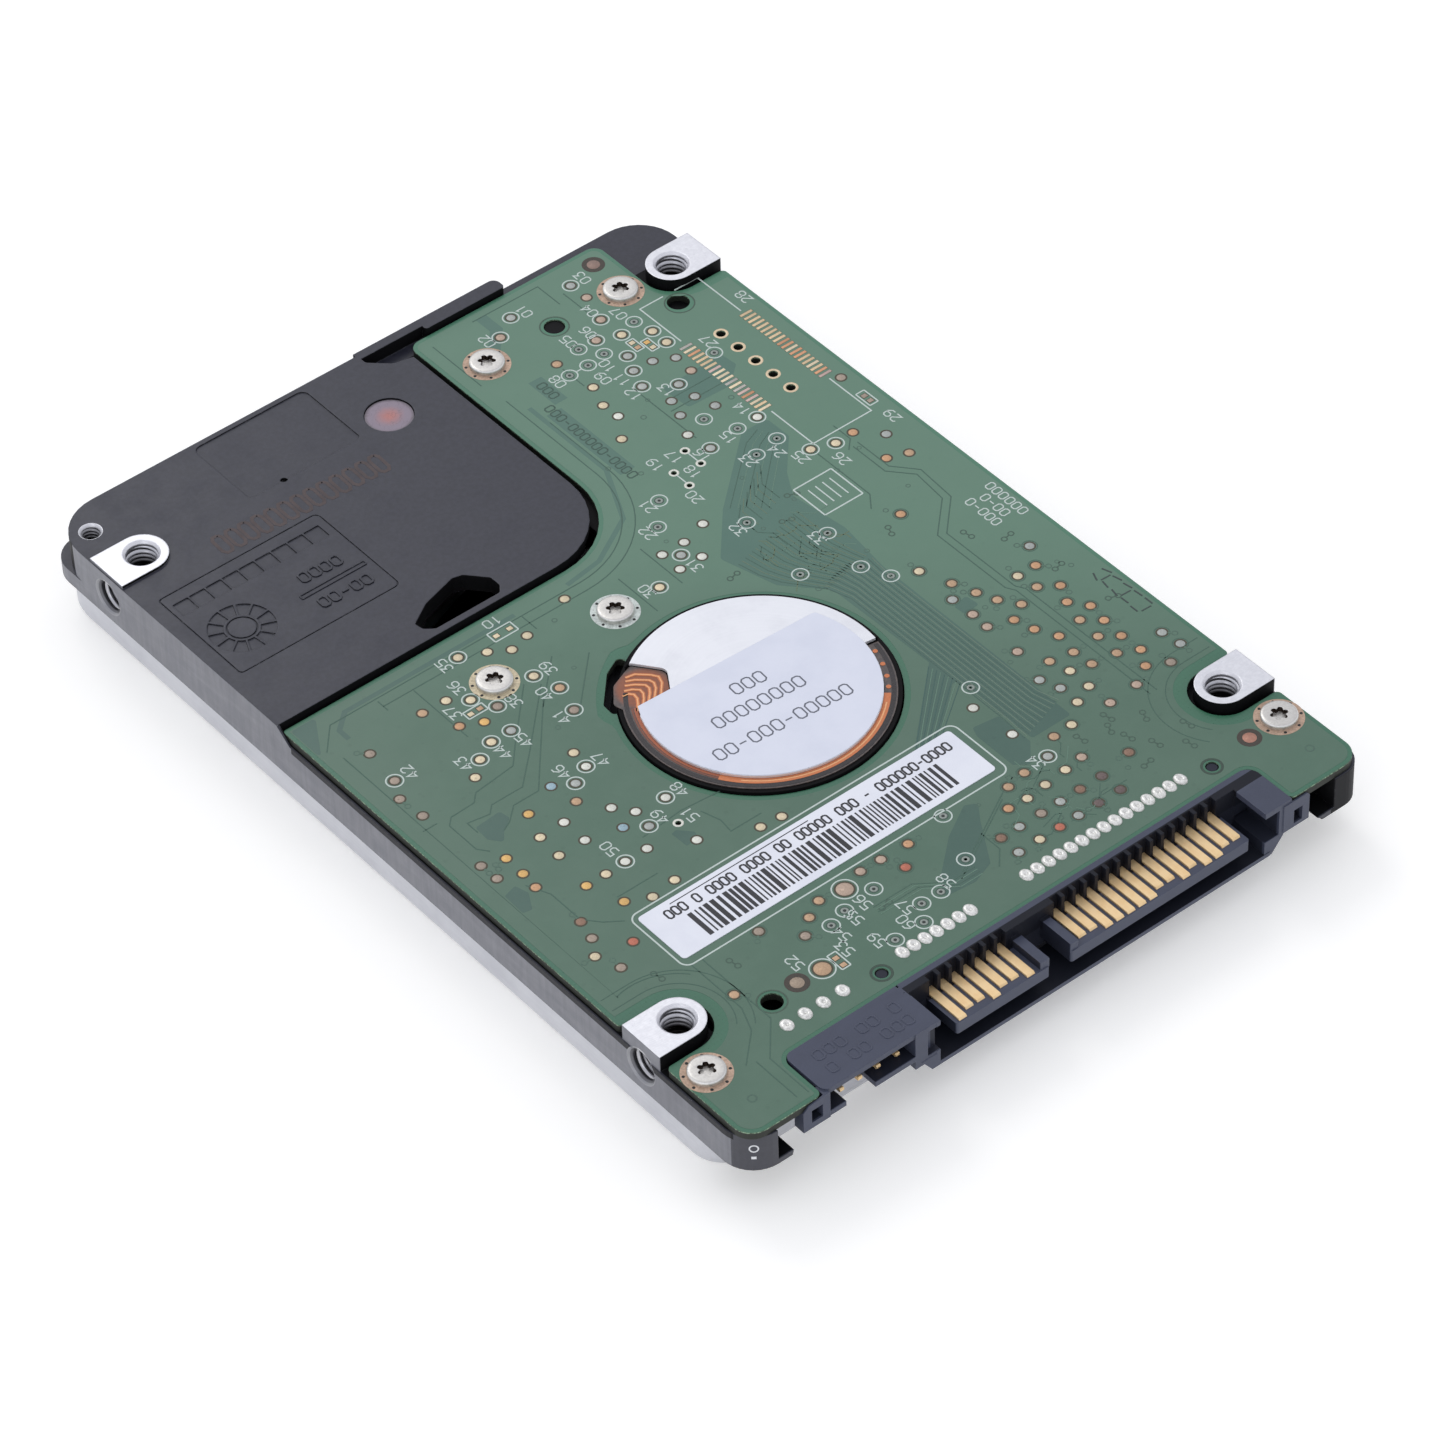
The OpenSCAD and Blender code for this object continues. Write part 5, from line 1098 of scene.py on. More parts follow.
PAD_A = """15.1,45.1,grey 12.6,43.5,pink 22.25,45.05,grey 21.3,39.3,pink 19.1,37.25,pink 21.4,36.3,cream 19.9,33.55,grey 23.9,34.8,cream
23.9,32.7,cream 19.0,31.55,grey 18.2,29.3,grey 20.95,27.3,grey 17.5,18.45,grey 23.5,18.95,white 24.3,12.25,cream 26.6,11.4,cream
6.25,8.95,grey 2.1,6.9,cream 13.9,-32.2,grey -17.2,11.55,cream -30.95,2.8,mauve -19.7,6.5,cream -18.4,4.3,mauve -13.6,5.25,cream
-12.8,2.55,tan -13.6,-0.5,mauve -21.6,1.1,cream -19.4,1.1,grey -23.7,0,cream -17.25,-6.75,white -19.25,-7.8,grey -14.45,-14.3,white
-17.75,-16.1,grey -22.0,-18.1,white"""
PAD_B = """17.05,37.3 23.45,37.0 14.1,34.95 16.3,34.95 18.45,35.25 19.6,21.95 21.1,18.9 26.3,28.6 9.4,15.95 7.05,13.25 20.1,14.95 22.95,15.45
13.5,8.4 18.1,2.5 12.7,-0.1 17.45,-2.9 18.7,-5.6 14.55,-21.25 2.2,-31.8 0.2,-37.05 -13.6,-35.55 -11.6,-34.95 -8.05,-34.6 -10.6,-40.4
-7.4,-40.4 -6.1,-38.6 -3.95,-38.6"""
PADS = """14.2,37,tan 14.7,32.2,cream 13.8,29.6,cream 13.9,27.5,white 12.15,24.8,cream 22.3,42.7,pink 21.2,31.45,grey 23.15,30.4,grey
23.05,28.05,pink 18.95,25.9,grey 21,25,grey 18.3,23.8,grey 21.6,22.75,grey 17.1,21.25,white 28.75,11.5,orange 32.9,18.1,mauve
10.4,10.9,white 30.9,9.3,grey 28.75,6.75,orange 30.8,5.95,tan 24.75,0.1,orange 21,-6.8,cream 22.15,-9.95,tan 20.8,-11.6,grey
23,-12.3,tan 27.25,-13.1,cream 29.4,-13.1,orange 20.9,-14.25,pink 23.8,-14.25,tan 27.6,-15.3,tan 25.05,-16.1,tan 29.3,-16.55,orange
20.8,-16.3,pink 23.2,-17.2,orange 28.3,-18.55,orange 23.75,-19.3,orange 20.7,-20.5,pink 29.55,-20.3,orange 24.8,-21.4,orange
27.6,-21.05,tan 29.2,-22.5,orange 22,-23.3,tan 24.4,-23.8,tan 27.4,-23.7,tan 29,-25,orange 19.75,-24.5,grey 22.55,-25.4,cream
13,-23.35,white 30.7,-10.8,grey 13.4,-28.1,white 20.45,-26.5,grey 20.4,-28.8,cream 24.6,-26,tan 22.5,-27.95,cream 27.2,-26.4,tan
29.1,-27.45,orange 28,-29.3,orange 32,-27.05,grey 32.25,-29.2,grey 15.95,-30.7,tan 18.1,-30.6,cream 22.5,-30.75,pink 25.8,-30.55,pink
30,-30.4,mauve 11,-32.4,tan 8.8,-32.8,tan 7.05,-34.8,orange 9.1,-34.95,cream 11.4,-34.7,cream 13.95,-34.45,cream 16.05,-34.2,pink
19.55,-36.45,brown 4.2,-37.1,brown 6.3,-37.1,grey 8.8,-37.1,mauve 11,-37.1,grey 13.3,-37.1,brown 15.8,-37.1,dark 4.2,-39.4,grey
6.6,-39.4,cream 8.9,-39.4,red 11.05,-39.4,grey 13.4,-39.4,dark 15.9,-39.4,dark -30.55,6.9,mauve -23.95,7.95,tan -21.4,7.85,cream
-14.8,10.4,cream -10.8,9.75,cream -12.95,9.2,cream -22.5,4.5,orange -20.5,3.5,gold -32,0.7,mauve -25.4,-1.5,cream -31.75,-2.25,mauve
-17,-4.7,cream -21.1,-6.7,blue -24.7,-8.1,gold -20.6,-9.6,tan -31.7,-10.4,mauve -29.5,-11.1,gold -25.7,-11,cream -23,-10.9,white
-31.6,-12.5,mauve -29.55,-13.5,gold -25.85,-13.8,cream -23,-13.8,white -18.8,-12.2,white -17.5,-13.95,white -19.55,-14.75,blue
-29.75,-15.5,orange -26.35,-18.2,gold -24.2,-18.2,cream -19.6,-18.1,white -15.7,-20.1,white -5.3,11.3,cream -29.4,-21.25,brown
-25.1,-21.8,gold -22.9,-22.95,cream -20.2,-22.6,cream -29.9,-23.4,mauve -31.05,-25.25,cream -27.5,-26,red -30.2,-27.7,mauve
-10.55,-22.5,cream -8.35,-22.7,cream -18.7,-32.05,mauve -16.05,-35.05,mauve -14.4,-33.6,tan -12.5,-32.6,tan -7.55,-32.25,pink
-5.3,-32.3,pink -2.3,-32.4,orange -4.3,-34.4,red -25,-36.4,tan 5.0,10.1,white 7.55,10.1,white 5.0,7.55,white 7.55,7.55,white"""


def table(text):
    out = []
    for t in text.split():
        q = t.split(",")
        out.append((float(q[0]), float(q[1]), q[2] if len(q) > 2 else "grey"))
    return out


pads, silk, rims = Build(), Build(), Build()


def vary(col, k=0.08):
    f = 1 + rnd.uniform(-k, k)
    return tuple(min(1.0, c * f) for c in col)


def pad(x, y, r, colour):
    """A tinned pad standing in its solder mask opening."""
    rims.annulus((x, y), r * 0.9, r + 0.15, ZB, ZB + 0.019, 24, C["rim"])
    h = 0.05 * r / 0.47
    pads.lathe((x, y), [(r, ZB), (r * 0.98, ZB + 0.016), (r * 0.8, ZB + 0.016 + h * 0.55), (r * 0.45, ZB + 0.016 + h * 0.93), (r * 0.08, ZB + 0.016 + h)], 20, vary(C[colour]))
    # a flat where the probe has touched
    if rnd.random() < 0.5:
        a = rnd.uniform(0, 6.28)
        q = r * 0.3
        pads.lathe((x + q * math.cos(a), y + q * math.sin(a)), [(r * 0.22, ZB + 0.02), (r * 0.2, ZB + 0.02 + h * 0.98), (r * 0.05, ZB + 0.022 + h)], 10, vary(C[colour], 0.2))


for x, y, c in table(PAD_A):
    silk.annulus((x, y), 0.71, 0.85, ZB, ZB + 0.03, 28, C["silk"], 0.01)
    pad(x, y, 0.45, c)
for x, y, c in ((-9.95, -33.0, "pink"), (-17.45, -38.95, "tan")):
    silk.annulus((x, y), 1.08, 1.22, ZB, ZB + 0.03, 32, C["silk"], 0.01)
    pad(x, y, 0.8, c)
for x, y, _ in table(PAD_B):
    silk.annulus((x, y), 0.7, 0.84, ZB, ZB + 0.03, 28, C["silk"], 0.01)
    rims.annulus((x, y), 0.36, 0.46, ZB, ZB + 0.02, 20, srgb(58, 84, 72))
    pads.annulus((x, y), 0.15, 0.37, ZB, ZB + 0.03, 20, srgb(148, 156, 148), 0.02)
    # painted shade: a dark disc stands for the open drill hole
    rims.disc((x, y), 0.15, ZB, ZB + 0.018, 12, srgb(34, 38, 36))
all_pads = table(PADS)
for x, y, c in all_pads:
    pad(x, y, 0.45, c)
    if x > 18 and y < 1 or y < -32:
        rims.annulus((x, y), 0.66, 0.76, ZB, ZB + 0.0195, 24, LN)
for x, y in PLATED:
    pads.annulus((x, y), 0.27, 0.5, ZB, ZB + 0.035, 24, C["white"], 0.02)
for a, b in (((15.5, 19.2), (15.5, 17.9)), ((12.8, 17.5), (12.8, 16.25)), ((14.95, 34.95), (15.45, 34.95))):
    silk.ribbon([a, b], 0.14, ZB, ZB + 0.03, C["silk"])
for i in range(5):
    p = (28.5, 30.3 - 2.55 * i)
    pads.annulus(p, 0.46, 0.72, ZB, ZB + 0.035, 28, vary(srgb(226, 204, 170)), 0.02)
# fiducials, and the faint dimples at the front corners
for p, col in (((25.8, 46.05), (150, 124, 112)), ((-20.1, -38.8), (168, 150, 130)), ((28.7, -42.0), (186, 134, 114))):
    rims.annulus(p, 0.6, 1.12, ZB, ZB + 0.019, 32, srgb(62, 54, 44))
    pads.disc(p, 0.64, ZB, ZB + 0.03, 28, srgb(*col), 0.012)
for p in ((-14, -42.6), (23.8, -42.5)):
    rims.annulus(p, 0.8, 1.04, ZB, ZB + 0.0185, 28, srgb(50, 72, 58))
for p, r in (((17.4, 41.4), 1.32), ((28.4, 36.3), 1.36), ((-23.1, -39.1), 1.25)):
    rims.annulus(p, r, r + 0.14, ZB, ZB + 0.0185, 32, srgb(66, 90, 74))
for p in ((31.75, -46.4), (-31.4, -46.5)):
    rims.annulus(p, 0.3, 0.46, ZB, ZB + 0.02, 20, srgb(74, 104, 88))

# two pad parts and their outlines
for x, y, col in ((21.4, 34.75, "cream"), (21.4, 33.9, "tan"), (22.5, 33.9, "gold"), (22.5, 33.0, "cream"), (-12.9, 11.5, "cream"), (-11.4, 11.5, "cream"),
                  (-20.8, 5.05, "cream"), (-19.75, 5.1, "tan"), (-15.8, -38.75, "tan"), (-15.8, -39.75, "tan"), (32.85, 14.7, "mauve"), (32.85, 13.85, "mauve")):
    rims.box(x - 0.34, x + 0.34, y - 0.3, y + 0.3, ZB, ZB + 0.018, C["rim"])
    pads.loft([[(x + u * (0.27 - e), y + v * (0.23 - e), z) for u, v in ((-1, -1), (1, -1), (1, 1), (-1, 1))] for e, z in ((0, ZB), (0.0, ZB + 0.03), (0.08, ZB + 0.05))], vary(C[col]))


def outline(x0, x1, y0, y1, r=0.1, w=0.14):
    silk.ribbon(rounded(rect(x0, x1, y0, y1, r)), w, ZB, ZB + 0.03, C["silk"], closed=True)


outline(-13.45, -10.85, 10.9, 12.2)
outline(-21.3, -19.2, 4.6, 5.6)
outline(-16.25, -15.3, -40.15, -38.1)
outline(32.35, 33.35, 13.3, 15.35)
outline(20.95, 21.85, 33.45, 35.2)
outline(22.05, 22.95, 32.55, 34.35)
# connector footprint
for pts in ([(25.0, 31.9), (25.0, 38.05), (27.8, 38.05)], [(29.2, 38.05), (32.0, 38.05), (32.0, 31.6)], [(25.0, 18.7), (25.0, 12.7), (32.0, 12.7), (32.0, 18.7)]):
    silk.ribbon(pts, 0.15, ZB, ZB + 0.03, C["silk"])
for side, x0, x1 in ((0, 24.15, 25.55), (1, 31.45, 32.85)):
    for i in range(20):
        y = 31.0 - 0.605 * i
        t = rnd.random()
        base = [(232, 214, 180), (222, 196, 156), (206, 178, 168), (190, 186, 176), (214, 158, 118)][rnd.choice((0, 0, 1, 1, 2, 3, 4) if side == 0 else (0, 1, 1, 4, 4, 2))]
        rims.box(x0 - 0.05, x1 + 0.05, y - 0.2, y + 0.2, ZB, ZB + 0.017, C["lip"])
        pads.loft([[((x0 + e) if u < 0 else (x1 - e), y + v * (0.15 - e), z) for u, v in ((-1, -1), (1, -1), (1, 1), (-1, 1))] for e, z in ((0, ZB), (0, ZB + 0.028), (0.05, ZB + 0.045))], vary(srgb(*base), 0.12))
# open square mark, left empty, and the frame round the code label
outline(19.5, 24.0, 4.5, 9.0, 0.1, 0.16)
for k in range(4):
    silk.ribbon([(20.5 + 0.85 * k, 5.4), (20.5 + 0.85 * k, 8.1)], 0.14, ZB, ZB + 0.03, C["silk"])
silk.ribbon(rounded(rect(-26.1, 10.3, -31.35, -23.55, 0.9)), 0.16, ZB, ZB + 0.03, C["silk"], closed=True)

# position numbers beside the pads
NUM_AT = """16.6,45 11.3,43.9 23.8,45.2 21.3,41 17,38.8 19.2,38.6 23.1,38.9 12.7,35 16.2,32.6 17.6,33.7 17.4,31.3 16.9,29 19.6,27.4 23.2,20.8
19.7,18.5 16.3,18.2 14.2,19.7 14.2,17 12.2,20 12.1,14.2 8.1,16 5.8,13.2 19.0,14.8 21.8,14.1 22.9,12.0 25.6,9.4 26.9,30.2 33.5,33 33,10.9
0.9,7.2 6.3,7.1 12.3,8.2 17,2.6 12.6,-32.1 -18.8,11.5 -19.7,8.5 -21.9,6.2 -16.9,3.9 -12.0,5.2 -14.3,2.8 -15,-0.5 -29.3,2.8 -25.1,0.5
-21.6,-0.6 -19.3,-0.6 -19.3,-5.9 -15.7,-6.9 -12.9,-14.3 -16.3,-15.8 -22.1,-16 -14.2,-17.3 -18.8,-36.9 -14.5,-38.4 -13.6,-36.9 -11.5,-36.1
-9.8,-35.2 -7.4,-38.0 -2.8,-37.9 -11.8,-39.4 -8.6,-39.4"""
for k, (x, y, _) in enumerate(table(NUM_AT)):
    numerals(silk, str(k + 1) if k > 8 else "0" + str(k + 1), (x, y), 1.0, 0.13, ZB, ZB + 0.03, 90, C["silk"])
numerals(silk, "10", (-12.1, 13.2), 1.0, 0.13, ZB, ZB + 0.03, 180, C["silk"])
for x, t in ((30.6, "000-0"), (32.0, "00-0"), (33.4, "000000")):
    numerals(silk, t, (x, -4.6), 0.95, 0.13, ZB, ZB + 0.03, 90, C["silk"])

DOGS = [(21.2, -32.4), (20.1, -33.6), (20.9, -35.4), (17.6, -32.9), (23.5, -34.4), (22.2, -37.6), (25.9, -37.6), (19.4, -38.6), (24.4, -39.6), (-28.4, -31.0),
        (-22.6, -34.0), (-9.0, -36.8), (16.0, 6.4), (7.6, 3.6), (22.4, -1.4), (27.6, -6.4), (29.6, -8.6), (30.4, -14.6), (31.4, -20.6), (18.6, 8.8)]
# tented vias: one beside many of the pads, fields and strays, kept off the pads
taken = [(x, y, 0.75) for x, y, _ in all_pads] + [(x, y, 1.1) for x, y, _ in table(PAD_A) + table(PAD_B)] + [(x, y, 2.6) for x, y in BOARD_SCREWS]
taken += [(x, y, 1.0) for x, y, _ in table(NUM_AT)]


def clear(x, y, gap=0.0):
    if math.dist((x, y), SP) < 14.2 or (-26.6 < x < 10.8 and -31.9 < y < -23.1):
        return False
    if abs(x) > 33.8 or y < -43.4 or y > 47.2 or (x < 6.6 and y > 13.2) or (x > 23.6 and 12.2 < y < 38.6):
        return False
    for bx, by in BOSSES:
        if math.dist((x, y), (bx, by)) < 5.2 or (abs(x) > abs(bx) and abs(y - by) < 5.0):
            return False
    if math.dist((x, y), (-3.0, 22.5)) < 9.6:
        return False
    return all(math.dist((x, y), (a, b)) > r + gap for a, b, r in taken)


def via(x, y, r=0.27):
    rims.annulus((x, y), r * 0.68, r, ZB, ZB + 0.02, 16, vary(srgb(78, 108, 92), 0.08))
    taken.append((x, y, r + 0.1))


for x, y, _ in all_pads:
    if (x > 19 and y < -5 or x < -28 or y < -31) and rnd.random() < 0.8:
        for a in rnd.sample(range(0, 360, 45), 6):
            u, v = x + 1.15 * math.cos(math.radians(a)), y + 1.15 * math.sin(math.radians(a))
            if clear(u, v):
                line([(x + 0.5 * math.cos(math.radians(a)), y + 0.5 * math.sin(math.radians(a))), (u - 0.2 * math.cos(math.radians(a)), v - 0.2 * math.sin(math.radians(a)))], 0.2, srgb(82, 112, 94))
                via(u, v, 0.31)
                break
for k in range(420):
    x, y = rnd.uniform(-33, 33), rnd.uniform(-43, 47)
    dense = (x > 19 and y < 4) or y < -32 or (x > 8 and y > -4)
    if rnd.random() < (0.3 if dense else 0.05) and clear(x, y, 0.25):
        via(x, y, rnd.choice((0.24, 0.28, 0.31)))

# bright rings round the screws, with their stitching vias
rings = Build()
for (x, y), (c, c2) in zip(BOARD_SCREWS, (("tan", 0), ("tan", 0), ("cream", 1), ("grey", 1), ("tan", 0), ("tan", 0))):
    base = {"tan": srgb(196, 166, 142), "cream": srgb(208, 194, 162), "grey": srgb(206, 214, 208)}[c]
    for k in range(24):
        rings.arc_band((x, y), 0.98, 2.28, 15 * k, 15 * k + 15, ZB, ZB + 0.03, vary(base, 0.1), step=5)
    for k in range(8):
        a = math.radians(45 * k + 18)
        # painted shade: near black dots stand for the open stitching via holes
        rims.disc((x + 2.0 * math.cos(a), y + 2.0 * math.sin(a)), 0.15, ZB, ZB + 0.036, 12, srgb(14, 14, 14))
numerals(fine, "0000-000000-000", (9.8, 26.4), 0.95, 0.14, ZB, ZB + 0.026, 90, srgb(58, 88, 74), stretch=0.98)
numerals(fine, "000", (11.25, 34.6), 0.95, 0.14, ZB, ZB + 0.026, 90, srgb(58, 88, 74))
for x, y in DOGS:
    a = math.radians(rnd.choice((-20, 10, 70, 100)))
    u, v = x + 0.95 * math.cos(a), y + 0.95 * math.sin(a)
    for p in ((x, y), (u, v)):
        rims.annulus(p, 0.2, 0.33, ZB, ZB + 0.02, 16, srgb(66, 94, 78))
    line([(x + 0.3 * math.cos(a), y + 0.3 * math.sin(a)), (u - 0.3 * math.cos(a), v - 0.3 * math.sin(a))], 0.13, srgb(66, 94, 78))
rings.make("board_screw_rings", M["copper"], slot="contact_gold", tint=True)
fine.make("board_track_lines", M["ink"], slot="board_green", smooth=False, tint=True)
pads.make("board_test_pads", M["pad"], slot="solder_tin", tint=True, sharp=50)
rims.make("board_mask_openings", M["ink"], slot="board_green", tint=True)
silk.make("board_legend", M["silk"], slot="label_white", tint=True)

# dark ink stamp near the right edge: dashes only
stamp = Build()
for k in range(5):
    y = -23.6 + 1.35 * k
    stamp.ribbon([(32.2 + 0.12 * (k % 2), y), (32.2 + 0.1 * k, y + 0.95)], 0.16, ZB + 0.014, ZB + 0.03, srgb(52, 66, 62))
    stamp.ribbon([(33.9, y - 0.1), (33.9 - 0.08 * k, y + 0.9)], 0.16, ZB + 0.014, ZB + 0.03, srgb(52, 66, 62))
    if k % 2 == 0:
        stamp.ribbon([(32.5, y - 0.2), (33.6, y - 0.25)], 0.14, ZB + 0.014, ZB + 0.03, srgb(56, 70, 66))
stamp.make("board_ink_stamp", M["ink"], slot="chip_black", tint=True)

# ---------------------------------------------------------------- code label on the board
ink = Build()
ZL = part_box("barcode_label")[1].z / MM
BK = srgb(44, 44, 48)
x = -22.1
while x < 6.0:
    w = rnd.choice((0.16, 0.16, 0.25, 0.36, 0.48))
    ink.box(x, min(x + w, 6.1), -29.75, -26.55, ZL - 0.004, ZL + 0.006, vary(BK, 0.1))
    x += w + rnd.choice((0.17, 0.22, 0.3))
numerals(ink, "0000-000000 - 000 00000 00 0000 0000 0 000", (-7.6, -25.55), 1.02, 0.19, ZL - 0.004, ZL + 0.006, 180, BK, stretch=0.8)
ink.ribbon([(-22.4, -24.62), (-7.0, -24.62)], 0.1, ZL - 0.004, ZL + 0.006, BK)
ink.make("code_label_print", M["ink"], slot="chip_black", tint=True)

# ---------------------------------------------------------------- motor opening: flex tracks, label print
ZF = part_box("motor_flex")[1].z / MM
tr = Build()
OR, OR2, GAP_SHADE = srgb(210, 122, 70), srgb(240, 176, 120), srgb(40, 34, 34)
RUNS = (
    [(-7.85, -0.57), (-6.94, -0.75), (-5.92, -1.74), (-5.52, -2.38), (-5.79, -3.17), (-7.16, -4.68)],
    [(-8.14, -0.93), (-7.39, -1.31), (-6.44, -2.19), (-6.32, -2.7), (-6.62, -3.35), (-7.87, -4.62)],
    [(-8.54, -1.33), (-7.77, -1.78), (-7.09, -2.44), (-7.06, -2.96), (-7.44, -3.53), (-8.59, -4.67)],
    [(-9.01, -1.82), (-8.34, -2.11), (-7.84, -2.62), (-7.89, -3.14), (-8.27, -3.71), (-9.16, -4.62)],
    [(-9.53, -2.28), (-8.92, -2.36), (-8.61, -2.73), (-8.71, -3.32), (-9.1, -3.89), (-9.68, -4.62)],
)
for k, pts in enumerate(RUNS):
    tr.ribbon(pts, 0.33, ZF - 0.004, ZF + 0.022, vary(OR, 0.08))
    tr.ribbon(pts, 0.12, ZF - 0.004, ZF + 0.032, OR2)
# the dark band from r 11.62 to 12.05 is painted shadow of the board opening's wall
for r0, r1, col, a0, a1 in ((11.62, 12.05, GAP_SHADE, 140, 350), (10.9, 11.25, srgb(170, 92, 56), 150, 212), (10.95, 11.58, OR, 212, 318), (11.2, 11.34, OR2, 222, 312),
                            (10.6, 10.86, srgb(84, 66, 60), 160, 320), (11.3, 11.5, srgb(120, 70, 50), 150, 212)):
    tr.arc_band(SP, r0, r1, a0, a1, ZF - 0.004, ZF + (0.03 if col is OR2 else 0.022), col)
for a in (322, 329, 337, 346, 356):
    tr.disc((SP[0] + 11.35 * math.cos(math.radians(a)), SP[1] + 11.35 * math.sin(math.radians(a))), 0.24, ZF - 0.004, ZF + 0.03, 14, OR)
tr.make("motor_flex_tracks", M["trace"], slot="flex_orange", tint=True)

ml = Build()
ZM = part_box("motor_label")[1].z / MM
GR = srgb(104, 107, 118)
for t, y, dx in (("000", -8.45, -0.3), ("00000000", -10.95, -1.15), ("00000-000-00", -14.3, -1.15)):
    numerals(ml, t, (dx, y), 1.35, 0.15, ZM - 0.004, ZM + 0.008, 176, GR, stretch=0.98)
ml.make("motor_label_print", M["ink"], slot="chip_black", tint=True)

# ---------------------------------------------------------------- screws with six lobed recesses


def lobed_screw(b, c, r, z0, z1, recess, depth, shank=None, up=1.0, phase=0.0, n=96, crown=0.05, dome=0.1):
    """Pan head with a six lobed drive, axis along z; up is -1 for a head that faces down."""
    def ring(rad, z):
        return [(c[0] + (rad(a) if callable(rad) else rad) * math.cos(a), c[1] + up * (rad(a) if callable(rad) else rad) * math.sin(a), z)
                for a in (2 * math.pi * i / n for i in range(n))]

    def lobe(k):
        return lambda a: recess * k * (0.845 + 0.155 * math.cos(6 * (a - phase)) - 0.03 * math.cos(12 * (a - phase)))
    h = z1 - z0
    # painted light: rim is a painted highlight on the head's shoulder and round the recess lip; the recess is painted
    # shade, darkest at its bottom
    head, rim, recess_wall_shade, low = srgb(214, 211, 205), srgb(234, 232, 228), srgb(62, 50, 42), srgb(30, 26, 24)
    rings = [(ring(r - 0.04, z0), head), (ring(r, z0 + 0.05 * h), head), (ring(r, z0 + 0.66 * h), rim), (ring(r - dome * 0.4, z0 + 0.86 * h), rim),
             (ring(r - dome, z1 - 0.02 * up), head), (ring(r - dome * 3.0, z1), head), (ring(recess * 1.12, z1), head), (ring(lobe(1.05), z1 - 0.005 * up), rim),
             (ring(lobe(1.0), z1 - 0.05 * up), recess_wall_shade), (ring(lobe(0.93), z1 - depth * up), low), (ring(lobe(0.5), z1 - depth * up * 1.06), low)]
    k0 = len(b.f)
    b.loft([q for q, _ in rings], head)
    for j, (_, col) in enumerate(rings[:-1]):
        for i in range(n):
            b.c[k0 + j * n + i] = col
    b.c[k0 + (len(rings) - 1) * n] = head
    b.c[k0 + (len(rings) - 1) * n + 1] = low
    if shank:
        sr, zs = shank
        b.loft([ring(sr * 0.7, zs), ring(sr, zs + 0.25 * up), ring(sr, z0 + 0.02 * up)], head)


sb = Build()
for k, p in enumerate(BOARD_SCREWS):
    lobed_screw(sb, p, 1.7, ZB, ZB + 0.52, 0.86, 0.5, (0.74, ZB - 2.38), phase=0.35 + 0.7 * k)
ob = sb.make("board_screws_detailed", M["head"], slot="screw_steel", sharp=40, tint=True)
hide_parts("board_screws")

sb = Build()
for k, p in enumerate(LID_SCREWS):
    lobed_screw(sb, p, 1.64, 0.69, 0.13, 0.78, 0.32, (0.74, 3.88), up=-1.0, phase=0.5 * k)
ob = sb.make("cover_screws_detailed", M["head"], slot="screw_steel", sharp=40, tint=True)
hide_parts("cover_screws")
sb = Build()
lobed_screw(sb, PV, 1.64, 0.69, 0.13, 0.78, 0.32, (0.74, 3.88), up=-1.0, phase=0.2)
ob = sb.make("pivot_cover_screw_detailed", M["head"], slot="screw_steel", sharp=40, tint=True)
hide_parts("pivot_cover_screw")

# ---------------------------------------------------------------- solder joints of the plug
sol = Build()


def blob(x, y, rx, ry, h):
    n, dx, dy = 22, rnd.uniform(-0.04, 0.04), rnd.uniform(-0.05, 0.05)
    rings = []
    for t, z in ((1.0, 0.0), (0.99, 0.1), (0.94, 0.45), (0.84, 0.75), (0.66, 0.95), (0.46, 1.0), (0.3, 0.9), (0.2, 0.55), (0.08, 0.45)):
        rings.append([(x + dx * z + rx * t * math.cos(2 * math.pi * i / n) * (1 + 0.03 * math.sin(3 * i + x)), y + dy * z + ry * t * math.sin(2 * math.pi * i / n), ZB + h * z) for i in range(n)])
    sol.loft(rings)


for i in range(7):
    blob(-11.11 + 1.27 * i, -41.9, 0.6, 0.74, rnd.uniform(0.2, 0.26))
for i in range(15):
    blob(2.86 + 1.27 * i, -41.9, 0.6, 0.74, rnd.uniform(0.2, 0.26))
for x in JUMPERS:
    blob(x, -42.0, 0.62, 0.74, rnd.uniform(0.2, 0.26))
ob = sol.make("solder_fillets", M["solder"], slot="solder_tin", sharp=60)
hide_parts("solder_joints")

# ---------------------------------------------------------------- threads in the mounting holes


def thread(b, origin, axis, r_wall, r_crest, t0, t1, pitch=0.5, seg=28):
    """A helical ridge inside a bore, from t0 to t1 along the axis."""
    ax = Vector(axis).normalized()
    u = ax.orthogonal().normalized()
    v = ax.cross(u)
    turns = (t1 - t0) / pitch
    n = max(8, int(turns * seg))
    prof = [(r_wall + 0.03, -0.46), (r_wall - 0.03, -0.42), (r_crest, -0.07), (r_crest, 0.07), (r_wall - 0.03, 0.42), (r_wall + 0.03, 0.46)]
    rings = []
    for i in range(n + 1):
        a = 2 * math.pi * i / seg
        t = t0 + pitch * i / seg
        fade = min(1.0, i / (seg * 0.4), (n - i) / (seg * 0.4))
        ring = []
        for r, dz in prof:
            rr = r_wall + 0.03 - (r_wall + 0.03 - r) * max(fade, 0.02)
            tt = t + dz * pitch * (0.25 + 0.75 * fade)
            ring.append(tuple(origin[k] + (u[k] * math.cos(a) + v[k] * math.sin(a)) * rr + ax[k] * tt for k in range(3)))
        rings.append(ring[::-1])
    b.loft(rings)


